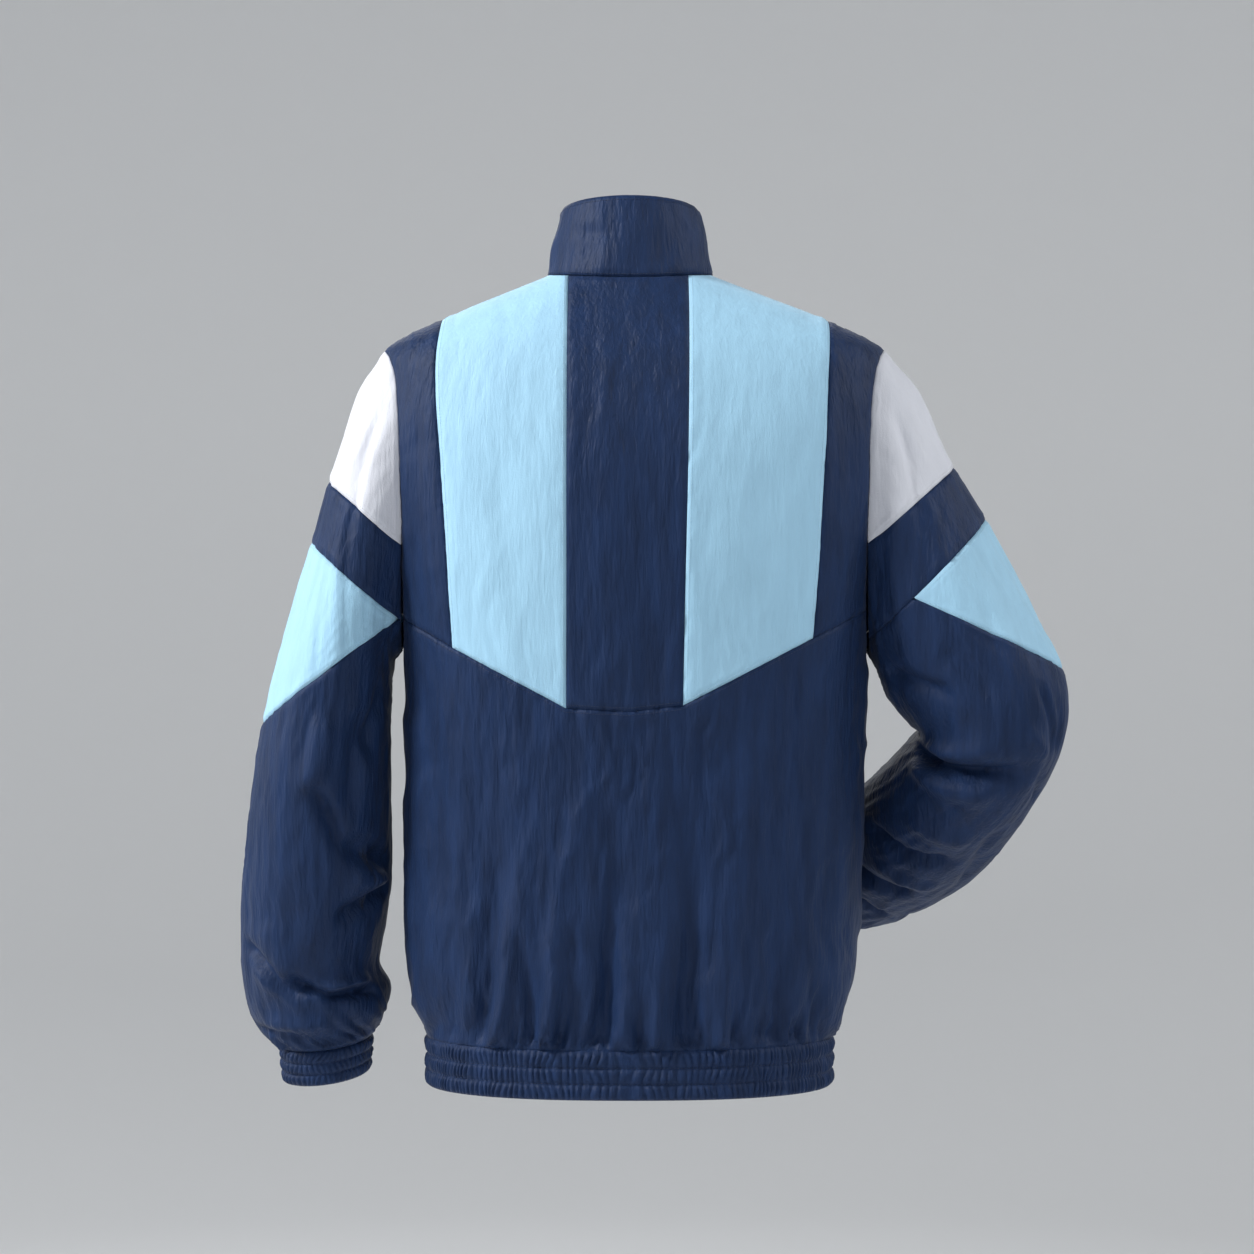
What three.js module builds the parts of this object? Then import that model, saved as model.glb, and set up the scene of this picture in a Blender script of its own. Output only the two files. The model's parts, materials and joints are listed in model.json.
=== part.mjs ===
// Windbreaker jacket in its worn form: every cut panel is a closed wall of cloth.
// Millimetres, +Z up, front towards -Y, the wearer's left towards +X.
// The origin lies between the two side neck points, where the shoulders carry the jacket.
import * as THREE from "three";

// Driving dimensions
const WALL = 1.4; // single cloth
const BAND_WALL = 2; // collar, waistband and cuffs
const HALF_SEAM = 0.15; // half of the gap between two pieces at a seam
const NECK_HALF = 72;
const BACK_NECK_DROP = 7;
const FRONT_NECK_DROP = 48;
const SHOULDER_DROP = 64;
const UNDERARM_DROP = 325;
const BODY_LENGTH = 658;
const BAND_HEIGHT = 40;
const BAND_RIBS = 64;
const CUFF_RIBS = 18;
const RIB_HEIGHT = 1.6;
const SHIRR_ROWS = 3; // rows of ribs, parted by the elastic's stitch lines
const ZIP_TAPE_HALF = 7;
const ZIP_CLEAR = 0.35; // between the slider and the collar's front
const ZIP_LEAN = 12; // degrees by which the collar's front leans back
const CUFF_HEIGHT = 30;
const CUFF_CLEAR = 0.45; // between a sleeve's end and its cuff
const CUFF_TAPER = { top: 0.97, bottom: 0.92 }; // shares of the sleeve end's size
const YOKE_ENDS = { left: 200, right: -205 };
const STRIP_HALF = 53; // the centre strip's left half, where the light panels start at the neck
const LIGHT_WIDTH = { left: 107, right: 121 };
const BLUNT = 2.5; // degrees cut off a sleeve piece's pointed end
const KITE_BLUNT = 10; // degrees cut off the kite's longer points
const SLEEVE_GATHERS = 24;
const SLEEVE_GATHER_DEPTH = 3;
const SLIDER = { tall: 14, thick: 2.8, bridge: 2.2, reach: 4.4, leg: 3.8, bar: 1.4 };
const PULL = { wide: 6.4, long: 30, thick: 1.2, slot_wide: 3.6, slot: 5.9, edge: 0.7 };
const COLLAR_TOP = { half: 60, back: 57, front: 60, z: 57, back_rise: 7, front_drop: 30 };

// Turns rows of numbers into rows with named columns
function table(names, ...rows) {
  const keys = names.split(" ");
  return rows.map((row) => Object.fromEntries(keys.map((key, i) => [key, row[i]])));
}

// Sections of the body: half width, depth behind and before, sideways centre and squareness
const TORSO = table(
  "z half back front centre square",
  [0, 72, 66, 58, 0, 2.0],
  [-20, 123, 76, 66, -1.5, 2.05],
  [-40, 172, 86, 74, -3, 2.1],
  [-64, 217, 97, 84, -3.5, 2.2],
  [-100, 224, 110, 98, -4, 2.3],
  [-160, 222, 121, 114, -4, 2.4],
  [-240, 213, 124, 124, -4, 2.4],
  [-320, 202.5, 120, 128, -4, 2.4],
  [-400, 201, 114, 128, -4, 2.4],
  [-500, 199, 112, 126, -4, 2.4],
  [-580, 196, 114, 124, -2, 2.4],
  [-620, 191, 116, 122, 0, 2.4],
  [-645, 183, 116, 119, 0.5, 2.4],
  [-658, 176, 114, 115, 0.5, 2.4],
  [-698, 175, 116, 113, 0.5, 2.4],
);

// Armhole: its half distance from the body's centre line, behind and before. The body and the sleeve
// share its corners
const ARMHOLE = table(
  "z back front",
  [-64, 217, 217],
  [-71, 212, 209],
  [-82, 207.5, 202],
  [-100, 204, 196],
  [-125, 202, 191.5],
  [-160, 200.5, 188],
  [-200, 199.5, 187],
  [-240, 199, 187.5],
  [-275, 199, 191],
  [-303, 200, 196],
  [-325, 202.5, 202.5],
);

// Seams of the back: the centre strip's and the light panels' edges, on the left and the right
const BACK_SEAMS = table(
  "z strip_left strip_right light_left light_right",
  [0, 53, -50, 160, -173],
  [-40, 53, -50, 162, -171],
  [-93, 53, -49.5, 164.5, -168],
  [-180, 53, -48, 159, -163],
  [-265, 53, -46, 153.5, -158],
  [-375, 53.3, -44, 147, -148],
);

// Yoke seam across the back, stepped down in a V at each light panel
const YOKE = table(
  "x z",
  [-205, -289],
  [-151, -315],
  [-44, -369.5],
  [0, -374.5],
  [53.3, -372],
  [150, -321.5],
  [200, -295],
);

// Soft folds that rise from the waistband: place at the band, rise, lean, width, and depth, where a
// trough is below 0
const BACK_FOLDS = table(
  "x rise lean width depth",
  [168, 70, 0.05, 7, -3.5],
  [154, 120, 0.1, 8, -4],
  [138, 60, 0, 6, -3],
  [128, 330, 0.12, 11, -4.5],
  [112, 150, 0.12, 8, 3],
  [103, 80, 0.05, 6, -3.5],
  [84, 120, 0.04, 7, -4],
  [72, 180, 0.1, 8, 3],
  [58, 60, 0, 6, -3],
  [44, 70, 0, 6, -3],
  [25, 230, 0.1, 9, -5],
  [-8, 60, 0, 7, -3],
  [-22, 150, -0.02, 9, 3],
  [-38, 80, 0, 6, -3],
  [-52, 280, -0.03, 10, -4.5],
  [-76, 150, 0.08, 9, 3],
  [-88, 60, 0, 6, -3],
  [-108, 80, 0, 7, -3.5],
  [-122, 140, 0, 9, -4],
  [-142, 60, -0.1, 6, -3],
  [-160, 100, -0.12, 8, -3.5],
);

const FRONT_FOLDS = table(
  "x rise lean width depth",
  [20, 60, 0, 6, -3],
  [34, 110, 0.02, 7, -3.5],
  [52, 230, 0.06, 9, -4],
  [70, 70, 0, 7, -3],
  [88, 130, 0.05, 8, 3],
  [104, 180, 0.08, 9, -4],
  [126, 80, 0, 7, -3.5],
  [146, 120, 0.05, 8, -3.5],
  [165, 60, 0, 7, -3],
);

// Rings of the sleeves: outer and inner point in the front view, how far forward, half depth
const LEFT_SLEEVE = table(
  "outer_x outer_z inner_x inner_z y depth",
  [213.5, -64, 200, -325, 0, 62],
  [236, -106, 207, -333, 0, 70],
  [261, -177, 208, -344, 0, 75],
  [277, -233, 208, -358, 0, 77],
  [297, -300, 208, -378, 0, 77],
  [311, -352, 208, -404, 0, 76],
  [323, -412, 208, -440, -1, 74],
  [331, -468, 208, -482, -3, 71],
  [336, -520, 208, -524, -7, 69],
  [338, -566, 213, -558, -12, 67],
  [338, -596, 219, -586, -16, 65],
  [336, -618, 219, -602, -19, 64],
  [331, -638, 212, -618, -21, 62],
  [324, -654, 213, -634, -23, 57],
  [313, -666, 220, -649, -25, 50],
  [307, -671, 226, -662, -26, 45],
);

const RIGHT_SLEEVE = table(
  "outer_x outer_z inner_x inner_z y depth",
  [-220.5, -64, -208, -325, 0, 62],
  [-252, -106, -212, -333, 0, 70],
  [-280, -163, -215, -342, 2, 75],
  [-309, -211, -218, -352, 5, 77],
  [-331, -253, -223, -363, 8, 77],
  [-353, -297, -231, -375, 12, 76],
  [-371, -334, -242, -387, 16, 74],
  [-378, -370, -251, -397, 16, 71],
  [-371, -409, -247, -405, 8, 69],
  [-355, -448, -238, -414, -8, 66],
  [-330, -495, -225, -427, -38, 63],
  [-299, -533, -211, -444, -78, 60],
  [-261, -560, -191, -466, -116, 57],
  [-232, -573, -172, -486, -135, 52],
  [-214, -577, -161, -499, -146, 46],
);

// Seams across a sleeve, as lines in the front view from the outer line to the body
const LEFT_SEAMS = {
  cap: { from: [261, -178], to: [196, -234] },
  band: { from: [276, -231], to: [198, -297] },
  kite: { from: [317, -386], to: [200, -299] },
};
const RIGHT_SEAMS = {
  cap: { from: [-282, -165], to: [-203, -233] },
  band: { from: [-308, -211], to: [-205, -314] },
  kite: { from: [-375, -341], to: [-238, -279] },
};

// Folds of a sleeve: ring and turn where it lies, its half length in rings, its half width in degrees,
// lean and depth
const LEFT_SLEEVE_FOLDS = table(
  "ring turn rings turns lean depth",
  [4.8, 110, 2.2, 12, 0, -4],
  [6.5, 70, 2.5, 14, 6, 4],
  [8, 128, 1.8, 14, -8, -8],
  [9.2, 40, 1.6, 12, 14, -4],
  [11.6, 60, 0.5, 70, 0, -7],
  [11.2, -80, 0.5, 60, 0, -6],
  [10.3, 100, 0.7, 45, 0, 4],
  [7.2, -110, 1.5, 16, 8, -6],
);
const RIGHT_SLEEVE_FOLDS = table(
  "ring turn rings turns lean depth",
  [4.8, 100, 2, 12, 0, -4],
  [7.3, 125, 0.55, 60, 0, -9],
  [7.2, -125, 0.5, 55, 0, -9],
  [8.6, 100, 0.6, 60, 0, 5],
  [9.8, 60, 0.6, 50, 0, -5],
  [11.6, 90, 0.5, 60, 0, -5],
  [12, -60, 0.5, 60, 0, -5],
);
// Colours of the cloth and the zip
const NAVY = new THREE.MeshStandardMaterial({ color: 0x25375a, roughness: 0.62 });
const LIGHT_BLUE = new THREE.MeshStandardMaterial({ color: 0xa9dcf3, roughness: 0.6 });
const WHITE = new THREE.MeshStandardMaterial({ color: 0xe4e6ee, roughness: 0.6 });
const TAPE = new THREE.MeshStandardMaterial({ color: 0x1b2740, roughness: 0.8 });
const METAL = new THREE.MeshStandardMaterial({ color: 0xb9bcc2, roughness: 0.3, metalness: 1 });

// Small helpers
const lerp = (a, b, t) => a + (b - a) * t;
const clamp01 = (t) => Math.min(1, Math.max(0, t));
const smooth = (t) => clamp01(t) ** 2 * (3 - 2 * clamp01(t));
const bump = (t) => Math.exp(-t * t);
const radians = (degrees) => (degrees * Math.PI) / 180;
const steps = (count, make) => Array.from({ length: count + 1 }, (_, i) => make(i / count, i));

// A smooth curve through one column of a table, as a function of its key column
function curve(rows, key, column) {
  const points = rows.map((row) => [key ? row[key] : rows.indexOf(row), row[column]]);
  points.sort((p, q) => p[0] - q[0]);
  const last = points.length - 1;
  const slope = points.map((_, i) => {
    const [x0, y0] = points[Math.max(i - 1, 0)];
    const [x1, y1] = points[Math.min(i + 1, last)];
    return (y1 - y0) / (x1 - x0);
  });
  return (at) => {
    const x = Math.min(points[last][0], Math.max(points[0][0], at));
    let i = 0;
    while (i < last - 1 && x > points[i + 1][0]) i++;
    const h = points[i + 1][0] - points[i][0];
    const t = (x - points[i][0]) / h;
    const ends = lerp(points[i][1], points[i + 1][1], t * t * (3 - 2 * t));
    return ends + h * t * (1 - t) * (slope[i] * (1 - t) - slope[i + 1] * t);
  };
}

// A chain of straight lines through one column of a table
function chain(table, key, column) {
  const rows = [...table].sort((a, b) => a[key] - b[key]);
  return (x) => {
    let i = 0;
    while (i < rows.length - 2 && x > rows[i + 1][key]) i++;
    const [a, b] = [rows[i], rows[i + 1]];
    return lerp(a[column], b[column], (x - a[key]) / (b[key] - a[key]));
  };
}

// The value between low and high where a rising function passes zero
function solve(rising, low, high) {
  for (let i = 0; i < 40; i++) {
    const middle = (low + high) / 2;
    if (rising(middle) < 0) low = middle;
    else high = middle;
  }
  return (low + high) / 2;
}

// Joins an outer and an inner sheet of points into one closed wall. A sheet is a list of rows of points;
// a sheet that wraps is a tube, whose last column meets its first.
function wall(name, material, outer, inner, wraps = false) {
  const positions = [];
  const index = [];
  const number = (sheet) =>
    sheet.map((row) => row.map((point) => positions.push(...point.toArray()) / 3 - 1));
  const sheets = [number(outer), number(inner)];
  if (wraps) sheets.forEach((sheet) => sheet.forEach((row) => row.push(row[0])));
  sheets.forEach((sheet, which) => {
    for (let i = 0; i + 1 < sheet.length; i++) {
      for (let j = 0; j + 1 < sheet[i].length; j++) {
        const corners = [sheet[i][j], sheet[i][j + 1], sheet[i + 1][j + 1], sheet[i + 1][j]];
        const [a, b, c, d] = which ? corners.reverse() : corners;
        index.push(a, b, c, a, c, d);
      }
    }
  });
  // Closes the gap between a border of the outer sheet and the same border of the inner one
  const hem = (a, b) => {
    let i = 0;
    let j = 0;
    while (i + 1 < a.length || j + 1 < b.length) {
      const [nextA, nextB] = [(i + 1) / (a.length - 1), (j + 1) / (b.length - 1)];
      const next = j + 1 >= b.length || (i + 1 < a.length && nextA <= nextB);
      if (next) index.push(a[i + 1], a[i], b[j]);
      else index.push(b[j], b[j + 1], a[i]);
      if (next) i++;
      else j++;
    }
  };
  const [out, ins] = sheets;
  const last = (list) => list[list.length - 1];
  hem(out[0], ins[0]);
  hem([...last(out)].reverse(), [...last(ins)].reverse());
  if (!wraps) {
    hem(out.map((row) => row[0]).reverse(), ins.map((row) => row[0]).reverse());
    hem(out.map(last), ins.map(last));
  }
  return solid(name, material, positions, index);
}

// A mesh from points and triangles, turned so that its faces point outwards
function solid(name, material, positions, index) {
  const at = (k) => new THREE.Vector3(...positions.slice(3 * k, 3 * k + 3));
  let volume = 0;
  for (let k = 0; k < index.length; k += 3) {
    volume += at(index[k]).dot(at(index[k + 1]).cross(at(index[k + 2])));
  }
  const faces = volume < 0 ? [...index].reverse() : index;
  const geometry = new THREE.BufferGeometry();
  geometry.setAttribute("position", new THREE.Float32BufferAttribute(positions, 3));
  geometry.setIndex(faces);
  geometry.computeVertexNormals();
  const mesh = new THREE.Mesh(geometry, material.clone());
  mesh.name = name;
  return mesh;
}

// The same wall from one grid of spots, each with a point and an outward direction
function clothWall(name, material, spots, wraps = false, thickness = WALL) {
  const outer = spots.map((row) => row.map((spot) => spot.point));
  const sunk = ({ point, out }) => point.clone().addScaledVector(out, -thickness);
  const inner = spots.map((row) => row.map(sunk));
  return wall(name, material, outer, inner, wraps);
}

const halfWidth = curve(TORSO, "z", "half");
const backDepth = curve(TORSO, "z", "back");
const frontDepth = curve(TORSO, "z", "front");
const centreLine = curve(TORSO, "z", "centre");
const squareness = curve(TORSO, "z", "square");

// How far the folds above the waistband move the body's cloth
function bodyFolds(x, z, side) {
  const rise = z + BODY_LENGTH;
  const folds = side > 0 ? BACK_FOLDS : FRONT_FOLDS;
  const place = side > 0 ? x : Math.abs(x);
  const seam = 0.45 + 0.55 * smooth(rise / 14);
  return folds.reduce((sum, fold) => {
    const height = clamp01(rise / fold.rise);
    const across = (place - fold.x + fold.lean * rise) / (fold.width * (1 + height));
    return sum + fold.depth * bump(across) * (1 - smooth(height)) * seam;
  }, 0);
}

// A spot on the body's outside: side is 1 behind and -1 before
function bodySpot(x, z, side) {
  const half = halfWidth(z);
  const depthAt = side > 0 ? backDepth : frontDepth;
  const depth = depthAt(z);
  const power = squareness(z);
  const across = x - centreLine(z);
  const share = Math.min(1, Math.abs(across) / half);
  const back = (1 - share ** power) ** (1 / power);
  const growth = (size) => (size(z) - size(z - 1)) / size(z);
  const out = new THREE.Vector3(
    (Math.sign(across) * share ** (power - 1)) / half,
    (side * back ** (power - 1)) / depth,
    -(share ** power) * growth(halfWidth) - back ** power * growth(depthAt),
  ).normalize();
  const point = new THREE.Vector3(x, side * Math.max(HALF_SEAM, back * depth), z);
  return { point: point.addScaledVector(out, bodyFolds(x, z, side)), out };
}

// Height of the panels' upper edge: the neck seam, then the ridge of the shoulder
function upperEdge(x, side) {
  if (Math.abs(x) < NECK_HALF) {
    const drop = side > 0 ? BACK_NECK_DROP : FRONT_NECK_DROP;
    return -drop * (1 - (x / NECK_HALF) ** 2) - HALF_SEAM;
  }
  return -solve((drop) => halfWidth(-drop) - Math.abs(x - centreLine(-drop)), 0, SHOULDER_DROP);
}

const armholeBack = chain(ARMHOLE, "z", "back");
const armholeFront = chain(ARMHOLE, "z", "front");
const armholeLevels = ARMHOLE.map((row) => row.z);

// Where the armhole or, below it, the side seam runs: hand is 1 on the left and -1 on the right
function bodyEdge(z, side, hand) {
  const armhole = side > 0 ? armholeBack : armholeFront;
  const reach = Math.min(halfWidth(z), z > -UNDERARM_DROP ? armhole(z) - HALF_SEAM : halfWidth(z));
  return centreLine(z) + hand * reach;
}

// A panel of the body between two upright edges, given as functions of the height, and a lower and an
// upper line. Its columns lie at shares of the width, below and above, and its rows at shares of the height.
function bodyPanel(name, material, side, { from, to, lower, upper, below, above, rows }) {
  const ends = [from, to].map((edge) => {
    const bottom = lower(edge(lower(edge(-BODY_LENGTH))));
    let top = upper(edge(-SHOULDER_DROP));
    for (let i = 0; i < 6; i++) top = upper(edge(top));
    return { bottom, top };
  });
  const spots = rows.map((v) =>
    below.map((share, j) => {
      const across = lerp(share, above[j], v);
      const [a, b] = [from, to].map((edge, k) => edge(lerp(ends[k].bottom, ends[k].top, v)));
      const foot = lower(lerp(from(ends[0].bottom), to(ends[1].bottom), share));
      const head = upper(lerp(from(ends[0].top), to(ends[1].top), above[j]));
      return bodySpot(lerp(a, b, across), lerp(foot, head, v), side);
    }),
  );
  return clothWall(name, material, spots);
}

// Rows of a panel beside the armhole: shares of its height at which the armhole has a corner
function armholeShares(bottom, levels, lower = []) {
  const shares = [bottom, ...lower, ...[...levels].reverse()];
  return shares.map((z) => (z - bottom) / (-SHOULDER_DROP - bottom));
}

// Shares of a width: even, or crowded towards the side of the body
const even = (count) => steps(count, (t) => t);
const towardsSide = (count) => steps(count, (t) => Math.sin(radians(90 * t)) ** (2 / 2.4));
const yoke = chain(YOKE, "x", "z");

// The back above the yoke seam: centre strip, light panels and side strips
function upperBack() {
  const edge = (column, inset) => {
    const line = curve(BACK_SEAMS, "z", column);
    return (z) => line(z) + inset;
  };
  const shared = {
    lower: (x) => yoke(x) + HALF_SEAM,
    upper: (x) => upperEdge(x, 1),
    rows: armholeShares(yoke(YOKE_ENDS.left), armholeLevels.filter((z) => z > yoke(YOKE_ENDS.left) + 8)),
  };
  const strip = (columns) => ({ ...shared, below: even(columns), above: even(columns) });
  // The neck point is a column of each light panel
  const light = (width) => {
    const neck = (NECK_HALF - STRIP_HALF) / width;
    const above = steps(2, (t) => neck * Math.sin(radians(90 * t)));
    above.push(...steps(6, (t) => lerp(neck, 1, t)).slice(1));
    return { ...shared, below: even(8), above };
  };
  return [
    bodyPanel("back_centre_panel", NAVY, 1, {
      ...strip(6),
      from: edge("strip_left", -HALF_SEAM),
      to: edge("strip_right", HALF_SEAM),
    }),
    bodyPanel("back_blue_panel_left", LIGHT_BLUE, 1, {
      ...light(LIGHT_WIDTH.left),
      from: edge("strip_left", HALF_SEAM),
      to: edge("light_left", -HALF_SEAM),
    }),
    bodyPanel("back_blue_panel_right", LIGHT_BLUE, 1, {
      ...light(LIGHT_WIDTH.right),
      from: edge("strip_right", -HALF_SEAM),
      to: edge("light_right", HALF_SEAM),
    }),
    bodyPanel("back_side_panel_left", NAVY, 1, {
      ...strip(5),
      from: edge("light_left", HALF_SEAM),
      to: (z) => bodyEdge(z, 1, 1),
    }),
    bodyPanel("back_side_panel_right", NAVY, 1, {
      ...strip(5),
      from: edge("light_right", -HALF_SEAM),
      to: (z) => bodyEdge(z, 1, -1),
    }),
  ];
}

// The back below the yoke seam, one piece from side seam to side seam
function lowerBack() {
  const corners = [0, ...YOKE.slice(1, -1).map((row) => row.x), 0];
  const left = bodyEdge(yoke(YOKE_ENDS.left), 1, 1);
  const right = bodyEdge(yoke(YOKE_ENDS.right), 1, -1);
  corners[0] = right;
  corners[corners.length - 1] = left;
  const counts = [8, 16, 7, 9, 14, 8];
  const above = [];
  counts.forEach((count, k) => {
    const [a, b] = [corners[k], corners[k + 1]].map((x) => (x - right) / (left - right));
    above.push(...steps(count, (t) => lerp(a, b, t)).slice(k ? 1 : 0));
  });
  const below = above.map((share) => 0.5 - 0.5 * Math.cos(radians(180 * share)));
  return bodyPanel("back_lower_panel", NAVY, 1, {
    from: (z) => bodyEdge(z, 1, -1),
    to: (z) => bodyEdge(z, 1, 1),
    lower: () => -BODY_LENGTH + HALF_SEAM,
    upper: (x) => yoke(x) - HALF_SEAM,
    below: below.map((share, j) => lerp(share, above[j], 0.5)),
    above,
    rows: steps(9, (t) => t ** 1.5),
  });
}

const FRONT_LEVELS = [-646, -631, -610, -580, -535, -480, -425, -375];

// A front panel from the zip to the side seam and the armhole
function frontPanel(name, hand) {
  const inner = ZIP_TAPE_HALF + HALF_SEAM;
  const width = Math.abs(bodyEdge(-SHOULDER_DROP, -1, hand)) - inner;
  const neck = (NECK_HALF - inner) / width;
  const above = steps(8, (t) => neck * Math.sin(radians(90 * t)));
  above.push(...steps(14, (t) => lerp(neck, 1, t)).slice(1));
  return bodyPanel(name, NAVY, -1, {
    from: () => hand * inner,
    to: (z) => bodyEdge(z, -1, hand),
    lower: () => -BODY_LENGTH + HALF_SEAM,
    upper: (x) => upperEdge(x, -1),
    below: towardsSide(22),
    above,
    rows: armholeShares(-BODY_LENGTH, armholeLevels, FRONT_LEVELS),
  });
}

// A spot of the stand collar: share 0 is the back and 1 the zip on the left, and rise runs from the
// neck seam to the top edge
function collarSpot(share, rise) {
  const clear = (ZIP_TAPE_HALF + HALF_SEAM) / lerp(NECK_HALF, COLLAR_TOP.half, rise);
  const turn = share * (180 - Math.asin(clear) * (180 / Math.PI));
  const [sin, cos] = [Math.sin(radians(turn)), Math.cos(radians(turn))];
  const side = cos >= 0 ? 1 : -1;
  const x = NECK_HALF * sin;
  const z = upperEdge(Math.min(NECK_HALF - 0.01, Math.max(0.01 - NECK_HALF, x)), side) + 2 * HALF_SEAM;
  const foot = new THREE.Vector3(x, bodySpot(x, z, side).point.y, z);
  const reach = side > 0 ? COLLAR_TOP.back : COLLAR_TOP.front;
  const lift = side > 0 ? COLLAR_TOP.back_rise * cos : COLLAR_TOP.front_drop * cos;
  const head = new THREE.Vector3(COLLAR_TOP.half * sin, reach * cos, COLLAR_TOP.z + lift);
  const point = foot.lerp(head, rise);
  const out = new THREE.Vector3(sin, cos, 0.2).normalize();
  const calm = (1 - share ** 4) * Math.sin(radians(180 * rise));
  const crumple = 1.1 * Math.sin(radians(5 * turn) + 3 * rise) * calm;
  return { point: point.addScaledVector(out, crumple), out };
}

function collar() {
  const spots = steps(3, (rise) => steps(32, (t) => collarSpot(lerp(-1, 1, t), rise)));
  return clothWall("collar", NAVY, spots, false, BAND_WALL);
}

// A shirred band: ribs raised in the outer points over a plain inside. The ring gives a spot for a share
// of the way round and a share of the height.
function shirredBand(name, ring, ribs, wraps) {
  const levels = steps(2 * SHIRR_ROWS, (h, i) => ({ h, raise: i % 2 ? 1 : 0.2 }));
  const around = steps(2 * ribs, (t, i) => ({ t, raise: i % 2 }));
  if (wraps) around.pop();
  const outer = levels.map(({ h, raise }) =>
    around.map((column) => {
      const { point, out } = ring(column.t, h);
      return point.addScaledVector(out, RIB_HEIGHT * raise * column.raise);
    }),
  );
  const inside = steps(ribs, (t) => t);
  if (wraps) inside.pop();
  const inner = [0, 1].map((h) =>
    inside.map((t) => {
      const { point, out } = ring(t, h);
      return point.addScaledVector(out, -BAND_WALL);
    }),
  );
  return wall(name, NAVY, outer, inner, wraps);
}

// The waistband runs round the hem from one zip tape to the other
function waistband() {
  const gap = (ZIP_TAPE_HALF + HALF_SEAM) / halfWidth(-BODY_LENGTH);
  const start = Math.asin(gap ** (squareness(-BODY_LENGTH) / 2));
  const ring = (t, h) => {
    const turn = lerp(start, 2 * Math.PI - start, t);
    const [sin, cos] = [Math.sin(turn), Math.cos(turn)];
    const z = -BODY_LENGTH - HALF_SEAM - (BAND_HEIGHT - HALF_SEAM) * h;
    const power = 2 / squareness(z);
    const side = cos < 0 ? 1 : -1;
    const x = Math.sign(sin) * halfWidth(z) * Math.abs(sin) ** power;
    const y = side * (side > 0 ? backDepth(z) : frontDepth(z)) * Math.abs(cos) ** power;
    const out = new THREE.Vector3(x / halfWidth(z) ** 2, y / frontDepth(z) ** 2, 0).normalize();
    return { point: new THREE.Vector3(x + centreLine(z) * Math.abs(sin), y, z), out };
  };
  return shirredBand("waistband", ring, BAND_RIBS, false);
}

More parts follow.
